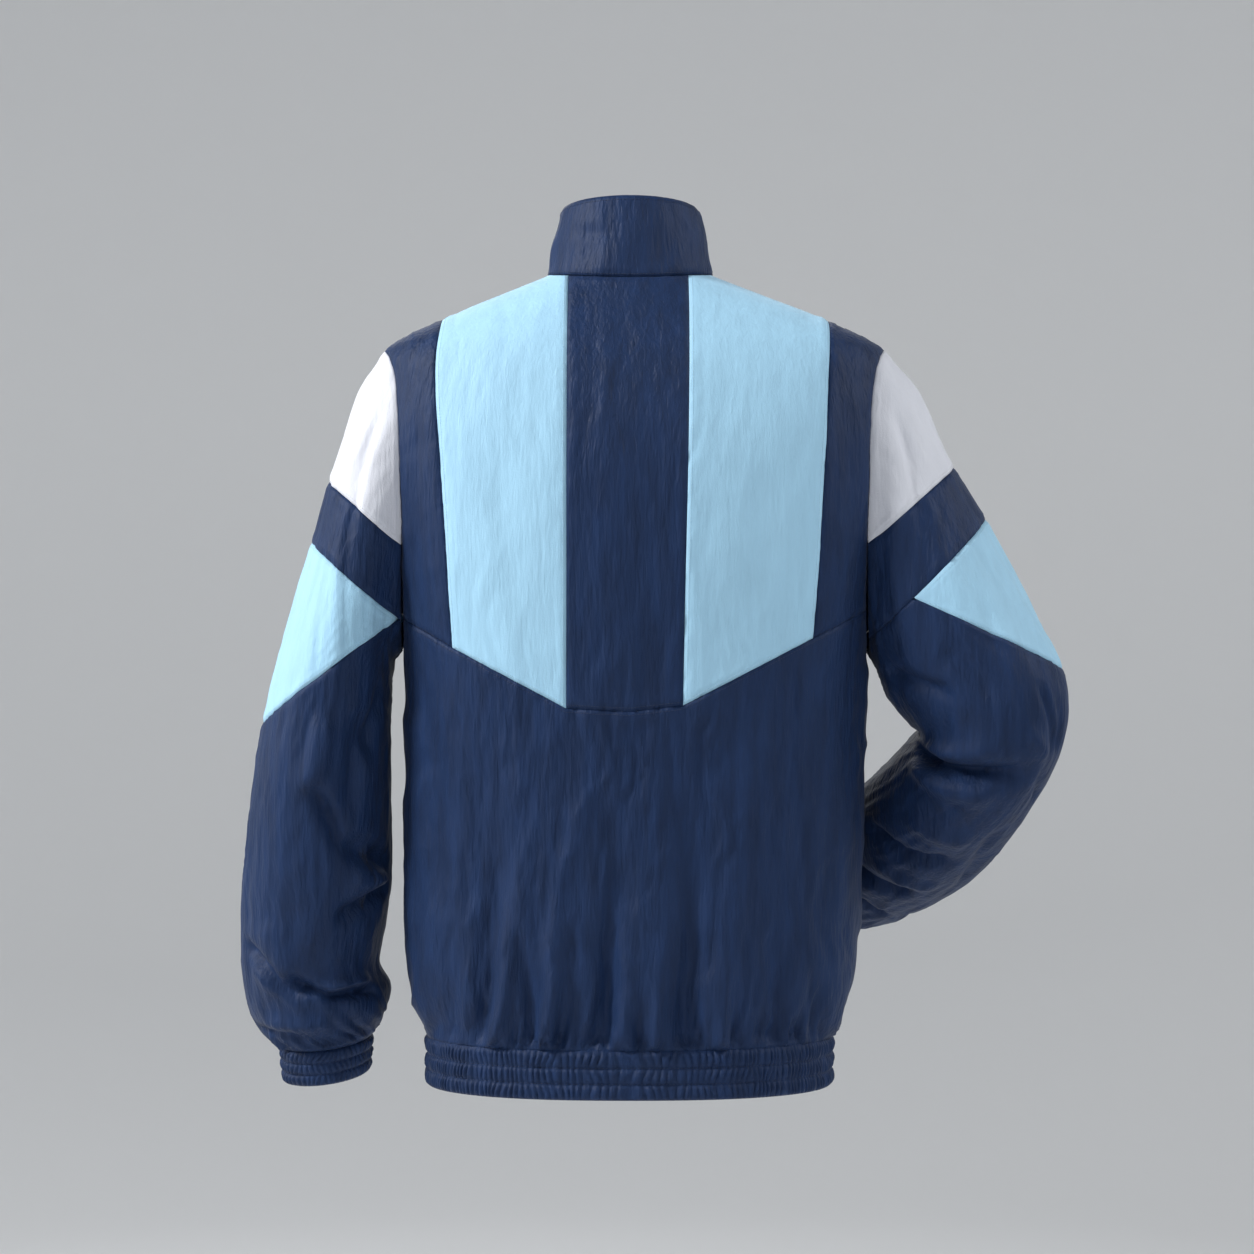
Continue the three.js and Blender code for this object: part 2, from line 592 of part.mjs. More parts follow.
// A spot on a sleeve: ring number, and turn in degrees, 0 on the outer line, 90 behind, 180 under the arm
function sleeveOf(hand, rings, folds, seams) {
  const column = (name) => curve(rings, null, name);
  const outerX = column("outer_x");
  const outerZ = column("outer_z");
  const innerX = column("inner_x");
  const innerZ = column("inner_z");
  const forward = column("y");
  const depth = column("depth");
  const end = rings.length - 1;
  const centre = (t) =>
    new THREE.Vector3((outerX(t) + innerX(t)) / 2, forward(t), (outerZ(t) + innerZ(t)) / 2);
  const frame = (t) => {
    const half = new THREE.Vector3((outerX(t) - innerX(t)) / 2, 0, (outerZ(t) - innerZ(t)) / 2);
    const along = centre(Math.min(t + 0.2, end)).sub(centre(Math.max(t - 0.2, 0))).normalize();
    const back = along.clone().cross(half).normalize();
    return { middle: centre(t), half, along, back: back.multiplyScalar(depth(t) * Math.sign(back.y)) };
  };
  const ring = (t, turn) => {
    const { middle, half, back } = frame(t);
    return middle
      .addScaledVector(half, Math.cos(radians(turn)))
      .addScaledVector(back, Math.sin(radians(turn)));
  };
  const armholeSpot = (turn) => {
    const side = turn >= 0 ? 1 : -1;
    const z = lerp(-SHOULDER_DROP, -UNDERARM_DROP, (1 - Math.cos(radians(turn))) / 2);
    const found = bodySpot(bodyEdge(z, side, hand), z, side);
    if (Math.abs(Math.sin(radians(turn))) < 0.01) found.point.y = 0;
    return found;
  };
  const armhole = (turn) => {
    const { point, out } = armholeSpot(turn);
    const along = armholeSpot(turn + 1).point.sub(armholeSpot(turn - 1).point);
    const across = along.cross(out).normalize();
    across.multiplyScalar(2 * HALF_SEAM * Math.sign(across.x * hand));
    const under = smooth((Math.abs(turn) - 125) / 40);
    point.addScaledVector(across, 1 - under);
    point.x += hand * 2 * HALF_SEAM * lerp(0.3, 1, under);
    return { point, out };
  };
  const shape = (t, turn) => {
    const blend = 1 - smooth(t / 3);
    const point = ring(t, turn);
    if (blend > 0) point.addScaledVector(armhole(turn).point.sub(ring(0, turn)), blend);
    return point;
  };
  const relief = (t, turn) => {
    const gather = smooth((t - end + 2.4) / 1.6) * (1 - 0.5 * smooth((t - end + 0.5) / 0.5));
    const wave = Math.cos(radians(SLEEVE_GATHERS * turn) + 1.5 * Math.sin(radians(3 * turn)));
    return folds.reduce((sum, fold) => {
      const away = (((turn - fold.turn - fold.lean * (t - fold.ring)) % 360) + 540) % 360 - 180;
      return sum + fold.depth * bump(away / fold.turns) * bump((t - fold.ring) / fold.rings);
    }, gather * SLEEVE_GATHER_DEPTH * wave);
  };
  const spot = (t, turn) => {
    const point = shape(t, turn);
    const down = shape(t + 0.05, turn).sub(shape(Math.max(0, t - 0.05), turn));
    const round = shape(t, turn + 2).sub(shape(t, turn - 2));
    const out = down.cross(round).normalize();
    if (out.dot(point.clone().sub(shape(t, turn + 180))) < 0) out.negate();
    // The first ring's edge stands parallel to the armhole's
    const share = Math.max(smooth((Math.abs(turn) - 95) / 50), smooth(t / 0.6));
    if (share < 1) out.multiplyScalar(share).addScaledVector(armhole(turn).out, 1 - share).normalize();
    return { point: point.addScaledVector(out, relief(t, turn) * smooth(t)), out };
  };
  // Where a seam, a straight line in the front view, crosses the sleeve at a turn
  const crossing = (seam, turn, inset = 0) => {
    const run = { x: seam.to[0] - seam.from[0], z: seam.to[1] - seam.from[1] };
    const size = -hand * Math.hypot(run.x, run.z);
    const below = (t) => {
      const p = shape(t, turn);
      return ((p.x - seam.from[0]) * run.z - (p.z - seam.from[1]) * run.x) / size - inset;
    };
    return below(0) > 0 ? 0 : solve(below, 0, 10);
  };
  return { seams, end, spot, crossing, frame };
}

// Turns of a sleeve's columns: the armhole's corners, and two more under the arm
const armholeTurns = [...armholeLevels, -322.5]
  .map((z) => Math.acos(1 - (2 * (-SHOULDER_DROP - z)) / (UNDERARM_DROP - SHOULDER_DROP)) * (180 / Math.PI))
  .flatMap((turn) => (turn > 0 && turn < 180 ? [turn, -turn] : [turn]));

// Turns at which one seam meets the armhole, or another seam, before and behind
function meeting(higher, lower) {
  return [-1, 1].map((side) => side * solve((turn) => higher(side * turn) - lower(side * turn), 5, 175));
}

function sleevePieces(sleeve, word) {
  const { crossing, seams, spot, end } = sleeve;
  const at = (seam, inset) => (turn) => crossing(seam, turn, inset);
  const none = () => 0;
  const capEnds = meeting(none, (turn) => at(seams.cap, 0)(turn) - 0.0005);
  const bandEnds = meeting(none, (turn) => at(seams.band, 0)(turn) - 0.0005);
  const kiteEnds = meeting(at(seams.band, 0), at(seams.kite, 0));
  const between = (low, high, marks = []) => {
    const free = armholeTurns.filter((turn) => marks.every((mark) => Math.abs(mark - turn) > 3));
    return [...free, ...marks].filter((turn) => turn > low && turn < high).sort((a, b) => a - b);
  };
  const span = (ends, marks, blunt = BLUNT) => {
    const [low, high] = [ends[0] + blunt, ends[1] - blunt];
    return [low, ...between(low + 1, high - 1, marks), high];
  };
  const patch = (name, material, turns, from, to, rows) =>
    clothWall(
      name,
      material,
      steps(rows, (v) => turns.map((turn) => spot(lerp(from(turn), to(turn), v), turn))),
    );
  const inCap = (turn) => turn > capEnds[0] && turn < capEnds[1];
  const inKite = (turn) => turn > kiteEnds[0] && turn < kiteEnds[1];
  const tubeTop = (turn) => at(inKite(turn) ? seams.kite : seams.band, HALF_SEAM)(turn);
  const corners = [bandEnds[0], kiteEnds[0], kiteEnds[1], bandEnds[1]];
  if (kiteEnds[0] - bandEnds[0] < 3) corners.shift();
  if (bandEnds[1] - kiteEnds[1] < 3) corners.pop();
  const tubeTurns = between(-180, 181, corners);
  const tube = steps(15, (v) => tubeTurns.map((turn) => spot(lerp(tubeTop(turn), end, v), turn)));
  return [
    patch(`sleeve_${word}_cap`, WHITE, span(capEnds, []), none, at(seams.cap, -HALF_SEAM), 7),
    patch(
      `sleeve_${word}_band`,
      NAVY,
      span(bandEnds, capEnds),
      (turn) => (inCap(turn) ? at(seams.cap, HALF_SEAM)(turn) : 0),
      at(seams.band, -HALF_SEAM),
      4,
    ),
    patch(
      `sleeve_${word}_kite`,
      LIGHT_BLUE,
      span(kiteEnds, [], KITE_BLUNT),
      at(seams.band, HALF_SEAM),
      at(seams.kite, -HALF_SEAM),
      5,
    ),
    clothWall(`sleeve_${word}_lower`, NAVY, tube, true),
    cuff(sleeve, word),
  ];
}

// The shirred cuff at a sleeve's end
function cuff({ frame, end }, word) {
  const { middle, half, along, back } = frame(end);
  const ring = (t, h) => {
    const turn = 2 * Math.PI * t;
    const size = lerp(CUFF_TAPER.top, CUFF_TAPER.bottom, h);
    const out = half.clone().normalize().multiplyScalar(Math.cos(turn));
    out.addScaledVector(back.clone().normalize(), Math.sin(turn));
    const point = middle.clone().addScaledVector(along, CUFF_CLEAR + CUFF_HEIGHT * h);
    point.addScaledVector(half, size * Math.cos(turn)).addScaledVector(back, size * Math.sin(turn));
    return { point, out };
  };
  return shirredBand(`cuff_${word}`, ring, CUFF_RIBS, true);
}

// Half of the closed zip: its tape runs from the hem to the collar's top
function zipTape(name, hand) {
  const foot = collarSpot(1, 0).point;
  const head = collarSpot(1, 1).point;
  const heights = [...steps(14, (t) => lerp(-BODY_LENGTH - BAND_HEIGHT, -60, t)), -52];
  const levels = heights.map((z) => ({ z, y: bodySpot(0, z, -1).point.y }));
  steps(3, (t) => levels.push({ z: lerp(foot.z + 3, head.z, t), y: lerp(foot.y, head.y, t) }));
  const spots = levels.map(({ z, y }) =>
    [HALF_SEAM, ZIP_TAPE_HALF - HALF_SEAM].map((x) => ({
      point: new THREE.Vector3(hand * x, y + 0.3, z),
      out: new THREE.Vector3(0, -1, 0),
    })),
  );
  return clothWall(name, TAPE, spots);
}

// A plate of an outline, with its middle plane at the outline's plane
function plate(outline, thick, material, name) {
  const settings = { depth: thick, bevelEnabled: false, curveSegments: 6 };
  const geometry = new THREE.ExtrudeGeometry(outline, settings);
  geometry.translate(0, 0, -thick / 2);
  const mesh = new THREE.Mesh(geometry, material.clone());
  mesh.name = name;
  return mesh;
}

// The slider's side view, drawn forward along x and up along y: a body with a bridge arched in front of it
function sliderOutline() {
  const { tall, thick, reach, leg, bar } = SLIDER;
  const front = thick + reach;
  const outline = new THREE.Shape();
  outline.moveTo(0, -tall / 2).lineTo(thick, -tall / 2).lineTo(thick, -leg - bar);
  outline.lineTo(front - 1, -leg - bar).lineTo(front, -leg).lineTo(front, leg);
  outline.lineTo(front - 1, leg + bar).lineTo(thick, leg + bar).lineTo(thick, tall / 2).lineTo(0, tall / 2);
  const eye = new THREE.Path();
  eye.moveTo(thick, -leg).lineTo(front - bar, -leg).lineTo(front - bar, leg).lineTo(thick, leg);
  outline.holes.push(eye);
  return outline;
}

// The pull's front view, hanging from its pin line at the outline's origin
function pullOutline() {
  const { wide, long, slot_wide: gap, slot, edge } = PULL;
  const outline = new THREE.Shape();
  outline.moveTo(wide / 2, 0).lineTo(wide / 2 - edge, edge);
  outline.lineTo(edge - wide / 2, edge).lineTo(-wide / 2, 0);
  outline.absarc(0, 2 - long, wide / 2, -Math.PI, 0, false);
  const hole = new THREE.Path();
  hole.moveTo(-gap / 2, -edge).lineTo(gap / 2, -edge).lineTo(gap / 2, -slot).lineTo(-gap / 2, -slot);
  outline.holes.push(hole);
  return outline;
}

// The slider and its pull, in one group that leans back with the collar's front
function zipHardware() {
  const place = collarSpot(1, 0.55).point;
  const group = new THREE.Group();
  group.position.set(0, place.y - ZIP_CLEAR, place.z);
  group.rotation.x = -radians(ZIP_LEAN);
  const slider = plate(sliderOutline(), SLIDER.bridge, METAL, "zip_slider");
  const forward = new THREE.Vector3(0, -1, 0);
  const up = new THREE.Vector3(0, 0, 1);
  const across = new THREE.Vector3(-1, 0, 0);
  slider.setRotationFromMatrix(new THREE.Matrix4().makeBasis(forward, up, across));
  const pull = plate(pullOutline(), PULL.thick, METAL, "zip_pull");
  pull.rotation.x = Math.PI / 2;
  pull.position.y = -(SLIDER.thick + (SLIDER.reach - SLIDER.bar) / 2);
  group.add(slider, pull);
  return group;
}

const sleeves = [
  ["left", sleeveOf(1, LEFT_SLEEVE, LEFT_SLEEVE_FOLDS, LEFT_SEAMS)],
  ["right", sleeveOf(-1, RIGHT_SLEEVE, RIGHT_SLEEVE_FOLDS, RIGHT_SEAMS)],
];

const jacket = new THREE.Group();
jacket.add(...upperBack(), lowerBack());
jacket.add(frontPanel("front_left_panel", 1), frontPanel("front_right_panel", -1));
jacket.add(collar(), waistband());
sleeves.forEach(([word, sleeve]) => jacket.add(...sleevePieces(sleeve, word)));
jacket.add(zipTape("zip_tape_left", 1), zipTape("zip_tape_right", -1), zipHardware());

export default jacket;
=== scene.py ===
# Windbreaker jacket: cloth shells, seams, stitching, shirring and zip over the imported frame.
import bpy
import json
import math
import mathutils
import numpy as np
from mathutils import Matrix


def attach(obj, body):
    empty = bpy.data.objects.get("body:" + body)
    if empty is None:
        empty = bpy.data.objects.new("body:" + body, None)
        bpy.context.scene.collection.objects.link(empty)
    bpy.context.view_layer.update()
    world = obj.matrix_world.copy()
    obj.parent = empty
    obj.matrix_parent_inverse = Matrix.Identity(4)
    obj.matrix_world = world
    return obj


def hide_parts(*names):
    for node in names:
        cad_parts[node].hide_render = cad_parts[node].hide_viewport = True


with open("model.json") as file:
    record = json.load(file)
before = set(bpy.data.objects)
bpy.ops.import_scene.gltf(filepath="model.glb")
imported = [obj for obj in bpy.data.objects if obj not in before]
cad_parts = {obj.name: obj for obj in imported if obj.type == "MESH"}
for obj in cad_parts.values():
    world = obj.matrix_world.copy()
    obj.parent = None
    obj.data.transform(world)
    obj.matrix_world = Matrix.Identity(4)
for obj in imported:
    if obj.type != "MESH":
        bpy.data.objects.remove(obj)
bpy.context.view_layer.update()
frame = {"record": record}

MM = 0.001
CLOTH, COLLAR_CLOTH, BAND_CLOTH = 0.9, 2.0, 1.2  # thickness of one cloth, of the collar and of a band
HALF_SEAM = 0.05  # half the gap between two cloths
NECK_HALF, BACK_NECK_DROP, FRONT_NECK_DROP = 72.0, 7.0, 48.0
STRIP_HALF = 51.0  # the back's navy middle strip at the neck
SHOULDER_DROP, UNDERARM_DROP = 64.0, 325.0
BODY_LENGTH, BAND_HEIGHT = 658.0, 40.0
CUFF_HEIGHT, CUFF_CLEAR = 30.0, 0.45
ZIP_TAPE_HALF = 7.0
EDGE_CALM = 7.0  # how near a band the cloth's folds die away
TUCK, TUCK_DEPTH = 0.07, 2.6  # a band's upper edge goes up inside the cloth: share of its height, depth
FOLD_DEPTH, CREASE_DEPTH = 2.3, 1.5  # times the depths in the tables of folds and of sleeve creases
SINK, EDGE_SINK = 0.9, 0.8  # how far a cloth's border sinks into a seam, and a sleeve's end to its cuff
WAIST_RIBS, WAIST_PUFF = 190, 3.4  # ribs around the waistband, and their height
CUFF_RIBS, CUFF_PUFF = 50, 3.0
CUFF_WIDTH = (0.97, 0.92)  # the cuff's upper and lower edge as a share of the sleeve's end
RIB_COLUMNS, BAND_ROWS = 8, 22  # grid columns of a rib, grid rows of a band
ELASTICS = 3  # puffed rows of a band
BACK_GRID = 2.6  # mm between columns of the upper back's grids
BACK_ROWS, LOWER_ROWS, LOWER_COLUMNS = 190, 128, 176
FRONT_ROWS, FRONT_COLUMNS = 210, 74
COLLAR_ROWS, COLLAR_COLUMNS = 26, 170
SLEEVE_ROWS, SLEEVE_COLUMNS, PATCH_STEP = 150, 150, 2.4  # the step is in degrees around the sleeve
PATCH_BLUNT = 0.6  # degrees that a sleeve patch's pointed ends are cut back
STITCH, STITCH_STEP, SHIRRED_STEP, STITCH_SIDES = 1.9, 2.6, 3.0, 5
TOOTH_STEP = 1.5
COLLAR_TOP = dict(half=60.0, back=57.0, front=60.0, z=57.0, back_rise=7.0, front_drop=30.0)


IMAGE_PX, CAMERA_FOCUS_PX = 1254, 2988  # the photograph's width and focal length in its pixels
CAMERA_PLACE = (2.6, 2600, -304)
SENSOR, VIEW_END = 36.0, 60.0  # mm, and m


# Camera: level, behind the jacket, at the photograph's distance and field of view
def make_camera():
    data = bpy.data.cameras.new("camera")
    data.sensor_width = SENSOR
    data.lens = SENSOR * CAMERA_FOCUS_PX / IMAGE_PX
    data.clip_end = VIEW_END
    camera = bpy.data.objects.new("camera", data)
    camera.location = [k * MM for k in CAMERA_PLACE]
    camera.rotation_euler = (math.radians(90), 0, math.radians(180))
    bpy.context.scene.collection.objects.link(camera)
    bpy.context.scene.camera = camera


make_camera()


# A table as one array for each named column
def table(names, *rows):
    return dict(zip(names.split(), np.array(rows, float).T))


# Sections of the body: half width, depth behind and before, sideways centre and squareness
TORSO = table(
    "z half back front centre square",
    [0, 72, 66, 58, 0, 2.0],
    [-20, 123, 76, 66, -1.5, 2.05],
    [-40, 172, 86, 74, -3, 2.1],
    [-64, 217, 97, 84, -3.5, 2.2],
    [-100, 224, 110, 98, -4, 2.3],
    [-160, 222, 121, 114, -4, 2.4],
    [-240, 213, 124, 124, -4, 2.4],
    [-320, 202.5, 120, 128, -4, 2.4],
    [-400, 201, 114, 128, -4, 2.4],
    [-500, 199, 112, 126, -4, 2.4],
    [-580, 196, 114, 124, -2, 2.4],
    [-620, 191, 116, 122, 0, 2.4],
    [-645, 183, 116, 119, 0.5, 2.4],
    [-658, 176, 114, 115, 0.5, 2.4],
    [-698, 175, 116, 113, 0.5, 2.4],
)
# Armhole: its half distance from the body's centre line, behind and before
ARMHOLE = table(
    "z back front",
    [-64, 217, 217],
    [-71, 212, 209],
    [-82, 207.5, 202],
    [-100, 204, 196],
    [-125, 202, 191.5],
    [-160, 200.5, 188],
    [-200, 199.5, 187],
    [-240, 199, 187.5],
    [-275, 199, 191],
    [-303, 200, 196],
    [-325, 202.5, 202.5],
)
BACK_SEAMS = table(
    "z strip_left strip_right light_left light_right",
    [0, 53, -50, 160, -173],
    [-40, 53, -50, 162, -171],
    [-93, 53, -49.5, 164.5, -168],
    [-180, 53, -48, 159, -163],
    [-265, 53, -46, 153.5, -158],
    [-375, 53.3, -44, 147, -148],
)
YOKE = table(
    "x z",
    [-205, -289],
    [-151, -315],
    [-44, -369.5],
    [0, -374.5],
    [53.3, -372],
    [150, -321.5],
    [200, -295],
)
# Rings of the sleeves: outer and inner point in the front view, how far forward, half depth
LEFT_SLEEVE = table(
    "outer_x outer_z inner_x inner_z y depth",
    [213.5, -64, 200, -325, 0, 62],
    [236, -106, 207, -333, 0, 70],
    [261, -177, 208, -344, 0, 75],
    [277, -233, 208, -358, 0, 77],
    [297, -300, 208, -378, 0, 77],
    [311, -352, 208, -404, 0, 76],
    [323, -412, 208, -440, -1, 74],
    [331, -468, 208, -482, -3, 71],
    [336, -520, 208, -524, -7, 69],
    [338, -566, 213, -558, -12, 67],
    [338, -596, 219, -586, -16, 65],
    [336, -618, 219, -602, -19, 64],
    [331, -638, 212, -618, -21, 62],
    [324, -654, 213, -634, -23, 57],
    [313, -666, 220, -649, -25, 50],
    [307, -671, 226, -662, -26, 45],
)
RIGHT_SLEEVE = table(
    "outer_x outer_z inner_x inner_z y depth",
    [-220.5, -64, -208, -325, 0, 62],
    [-252, -106, -212, -333, 0, 70],
    [-280, -163, -215, -342, 2, 75],
    [-309, -211, -218, -352, 5, 77],
    [-331, -253, -223, -363, 8, 77],
    [-353, -297, -231, -375, 12, 76],
    [-371, -334, -242, -387, 16, 74],
    [-378, -370, -251, -397, 16, 71],
    [-371, -409, -247, -405, 8, 69],
    [-355, -448, -238, -414, -8, 66],
    [-330, -495, -225, -427, -38, 63],
    [-299, -533, -211, -444, -78, 60],
    [-261, -560, -191, -466, -116, 57],
    [-232, -573, -172, -486, -135, 52],
    [-214, -577, -161, -499, -146, 46],
)
# Seams across a sleeve, as lines in the front view from the outer line to the body
LEFT_SEAMS = dict(
    cap=((261, -178), (196, -234)),
    band=((276, -231), (198, -297)),
    kite=((317, -386), (200, -299)),
)
RIGHT_SEAMS = dict(
    cap=((-282, -165), (-203, -233)),
    band=((-308, -211), (-205, -314)),
    kite=((-375, -341), (-238, -279)),
)

# Folds that rise from the waistband: place at the band, rise, lean, width and depth; troughs are below 0
BACK_FOLDS = table(
    "x rise lean width depth",
    [168, 70, 0.05, 6, -3.5],
    [154, 120, 0.1, 7, -4],
    [138, 60, 0, 5, -3],
    [128, 330, 0.12, 9, -5],
    [112, 190, 0.12, 7, 3.4],
    [103, 80, 0.05, 5, -3.5],
    [84, 120, 0.04, 6, -4.4],
    [72, 260, 0.1, 7, 3.4],
    [58, 60, 0, 5, -3],
    [44, 70, 0, 5, -3],
    [25, 250, 0.1, 8, -5.5],
    [10, 150, 0.06, 8, 2.5],
    [-8, 60, 0, 5, -3],
    [-22, 170, -0.02, 8, 3],
    [-38, 80, 0, 5, -3],
    [-52, 290, -0.03, 9, -5],
    [-76, 190, 0.08, 8, 3.2],
    [-88, 60, 0, 5, -3],
    [-108, 80, 0, 6, -3.5],
    [-122, 160, 0, 8, -4.4],
    [-142, 60, -0.1, 5, -3],
    [-160, 100, -0.12, 7, -3.5],
)
FRONT_FOLDS = table(
    "x rise lean width depth",
    [20, 60, 0, 5, -3],
    [34, 110, 0.02, 6, -3.5],
    [52, 240, 0.06, 8, -4.4],
    [70, 70, 0, 6, -3],
    [88, 150, 0.05, 8, 3],
    [104, 220, 0.08, 8, -4.4],
    [126, 80, 0, 6, -3.5],
    [146, 140, 0.05, 7, -3.5],
    [165, 60, 0, 6, -3],
)
# Long soft creases on the body: start and end in the view from behind, width and depth
BACK_CREASES = table(
    "x0 z0 x1 z1 width depth",
    [120, -395, 138, -560, 10, -2.2],
    [96, -385, 112, -520, 8, 1.6],
    [176, -340, 150, -600, 12, -2.4],
    [30, -390, 16, -520, 9, -1.6],
    [-70, -400, -60, -560, 12, -2.4],
    [-100, -420, -96, -600, 12, 1.8],
    [-150, -360, -140, -560, 14, -2.2],
    [-185, -400, -172, -600, 8, 1.6],
    [175, -90, 186, -280, 6, -1.4],
    [-182, -100, -190, -270, 6, -1.2],
    [70, -60, 130, -250, 20, -1.8],
    [140, -90, 80, -330, 18, -1.6],
    [-70, -60, -120, -240, 20, -1.6],
    [-140, -120, -80, -330, 18, -1.6],
    [20, -60, 12, -350, 12, 1.2],
    [-22, -90, -14, -350, 10, -1.2],
)
FRONT_CREASES = table(
    "x0 z0 x1 z1 width depth",
    [60, -120, 40, -380, 16, -2.0],
    [150, -110, 90, -400, 18, -2.4],
    [170, -300, 110, -560, 14, -2.4],
    [-70, -130, -40, -360, 16, -2.0],
    [-150, -120, -110, -420, 18, -2.2],
    [-180, -310, -120, -540, 14, -2.6],
    [-150, -430, -60, -600, 14, 2.2],
    [186, -260, 130, -340, 9, -2.6],
    [-186, -260, -130, -350, 9, -2.6],
)
# Folds of a sleeve: ring and turn at each end, width in mm, depth
LEFT_CREASES = table(
    "t0 turn0 t1 turn1 width depth",
    [6.2, 84, 7.2, 116, 8, -6.5],
    [7.2, 114, 7.6, 168, 10, -8.0],
    [8.5, 112, 8.1, 168, 8, -8.0],
    [7.8, 120, 7.9, 162, 9, 5.0],
    [5.0, 94, 6.4, 84, 13, 4.5],
    [4.4, 128, 6.6, 120, 11, -4.5],
    [3.2, 152, 5.4, 136, 9, -5.0],
    [9.1, 24, 11.1, 86, 6, -6.0],
    [9.8, 40, 10.8, 80, 8, 3.5],
    [10.2, 74, 11.3, 106, 6, -8.0],
    [11.3, 102, 11.8, 152, 6, -7.0],
    [10.8, 92, 11.0, 152, 9, 5.0],
    [12.3, 40, 12.6, 100, 7, 3.5],
    [12.9, 10, 13.4, 80, 5, -3.0],
    [8.6, 60, 10.2, 72, 12, 2.5],
    [11.0, -60, 11.7, -150, 7, -7.0],
    [10.4, -30, 11.2, -80, 7, -5.0],
    [7.0, -100, 9.2, -140, 9, -6.0],
    [6.8, -40, 9.6, -80, 11, 3.5],
    [3.4, -150, 7.2, -120, 9, -5.0],
    [0.6, 40, 2.6, 88, 10, -2.4],
    [0.6, -30, 2.6, -86, 10, -2.4],
    [0.4, 8, 2.2, 34, 9, 1.8],
)
RIGHT_CREASES = table(
    "t0 turn0 t1 turn1 width depth",
    [3.0, 150, 6.0, 118, 9, -4.5],
    [4.4, 104, 6.4, 92, 12, -3.0],
    [7.65, 178, 7.85, 66, 6, -10.5],
    [7.2, 165, 7.25, 92, 8, 4.5],
    [8.4, 165, 8.3, 84, 9, 5.0],
    [6.4, 60, 7.5, 47, 4, -3.0],
    [6.6, 40, 7.6, 38, 4, -2.6],
    [6.9, 72, 7.6, 54, 4, 3.0],
    [7.9, 52, 8.7, 24, 5, -3.0],
    [7.5, -172, 7.7, -80, 8, -9.0],
    [10.5, 132, 10.0, 62, 7, -6.5],
    [9.6, 120, 9.4, 70, 9, 4.0],
    [11.6, 114, 11.0, 58, 7, -5.5],
    [11.0, 100, 10.6, 50, 8, 3.0],
    [12.3, 120, 12.0, 40, 5, -4.0],
    [9.2, 60, 10.6, 26, 7, -3.0],
    [11.8, -60, 12.1, 30, 6, -3.4],
    [9.6, -60, 10.4, -150, 8, -5.0],
    [3.0, -150, 6.4, -118, 9, -5.0],
    [0.6, 40, 2.6, 88, 10, -2.4],
    [0.6, -30, 2.6, -86, 10, -2.4],
    [0.4, 8, 2.4, 30, 9, 1.8],
)


# Eases from 0 to 1
def smooth(t):
    t = np.clip(t, 0, 1)
    return t * t * (3 - 2 * t)


def bump(t):
    return np.exp(-t * t)


# A smooth curve through one column of a table
def curve(rows, key, column):
    x = rows[key] if key else np.arange(len(rows[column]), dtype=float)
    order = np.argsort(x)
    x, y = x[order], rows[column][order]
    last = len(x) - 1
    place = np.arange(last + 1)
    before, after = np.maximum(place - 1, 0), np.minimum(place + 1, last)
    slope = (y[after] - y[before]) / (x[after] - x[before])

    def at(k):
        k = np.clip(k, x[0], x[-1])
        i = np.clip(np.searchsorted(x, k, side="left") - 1, 0, last - 1)
        h = x[i + 1] - x[i]
        t = (k - x[i]) / h
        ends = y[i] + (y[i + 1] - y[i]) * t * t * (3 - 2 * t)
        return ends + h * t * (1 - t) * (slope[i] * (1 - t) - slope[i + 1] * t)

    return at


# Straight stretches through one column of a table
def chain(rows, key, column):
    order = np.argsort(rows[key])
    return lambda x: np.interp(x, rows[key][order], rows[column][order])


# Where a rising function passes 0, by halving
def solve(rising, low, high):
    low, high = np.broadcast_arrays(np.asarray(low, float), np.asarray(high, float))
    low, high = low.copy(), high.copy()
    for _ in range(36):
        middle = (low + high) / 2
        under = rising(middle) < 0
        low, high = np.where(under, middle, low), np.where(under, high, middle)
    return (low + high) / 2


LATTICE_SIZE = 64
LATTICE = np.random.RandomState(7).uniform(-1, 1, (8, LATTICE_SIZE, LATTICE_SIZE))


# Smooth noise between -1 and 1, the same on every run
def noise(x, y, layer=0):
    x, y = np.broadcast_arrays(x, y)
    i, j = np.floor(x).astype(int), np.floor(y).astype(int)
    u, v = smooth(x - i), smooth(y - j)
    grid, size = LATTICE[layer], LATTICE_SIZE
    a, b = grid[i % size, j % size], grid[(i + 1) % size, j % size]
    c, d = grid[i % size, (j + 1) % size], grid[(i + 1) % size, (j + 1) % size]
    return (a + (b - a) * u) * (1 - v) + (c + (d - c) * u) * v


# Soft crinkles that run along the cloth: across and along in mm
def crinkle(across, along, layer=0):
    drift = 7 * noise(across / 40, along / 60, layer) + 2 * noise(across / 9, along / 23, layer + 1)
    fine = noise((across + drift) / 4.6, along / 30, layer)
    middle = noise((across + 1.5 * drift) / 9, along / 52, layer + 2)
    broad = noise((across + 2 * drift) / 19, along / 110, layer + 1)
    cross = noise(across / 12 + along / 24, along / 15, layer + 2)
    ridges = 0.3 * (1 - 2 * np.abs(fine)) + 0.5 * (1 - 2.4 * np.abs(middle))
    return ridges + 0.95 * broad + 0.25 * cross


half_width = curve(TORSO, "z", "half")
back_depth = curve(TORSO, "z", "back")
front_depth = curve(TORSO, "z", "front")
centre_line = curve(TORSO, "z", "centre")
squareness = curve(TORSO, "z", "square")
armhole_back = chain(ARMHOLE, "z", "back")
armhole_front = chain(ARMHOLE, "z", "front")
yoke = chain(YOKE, "x", "z")


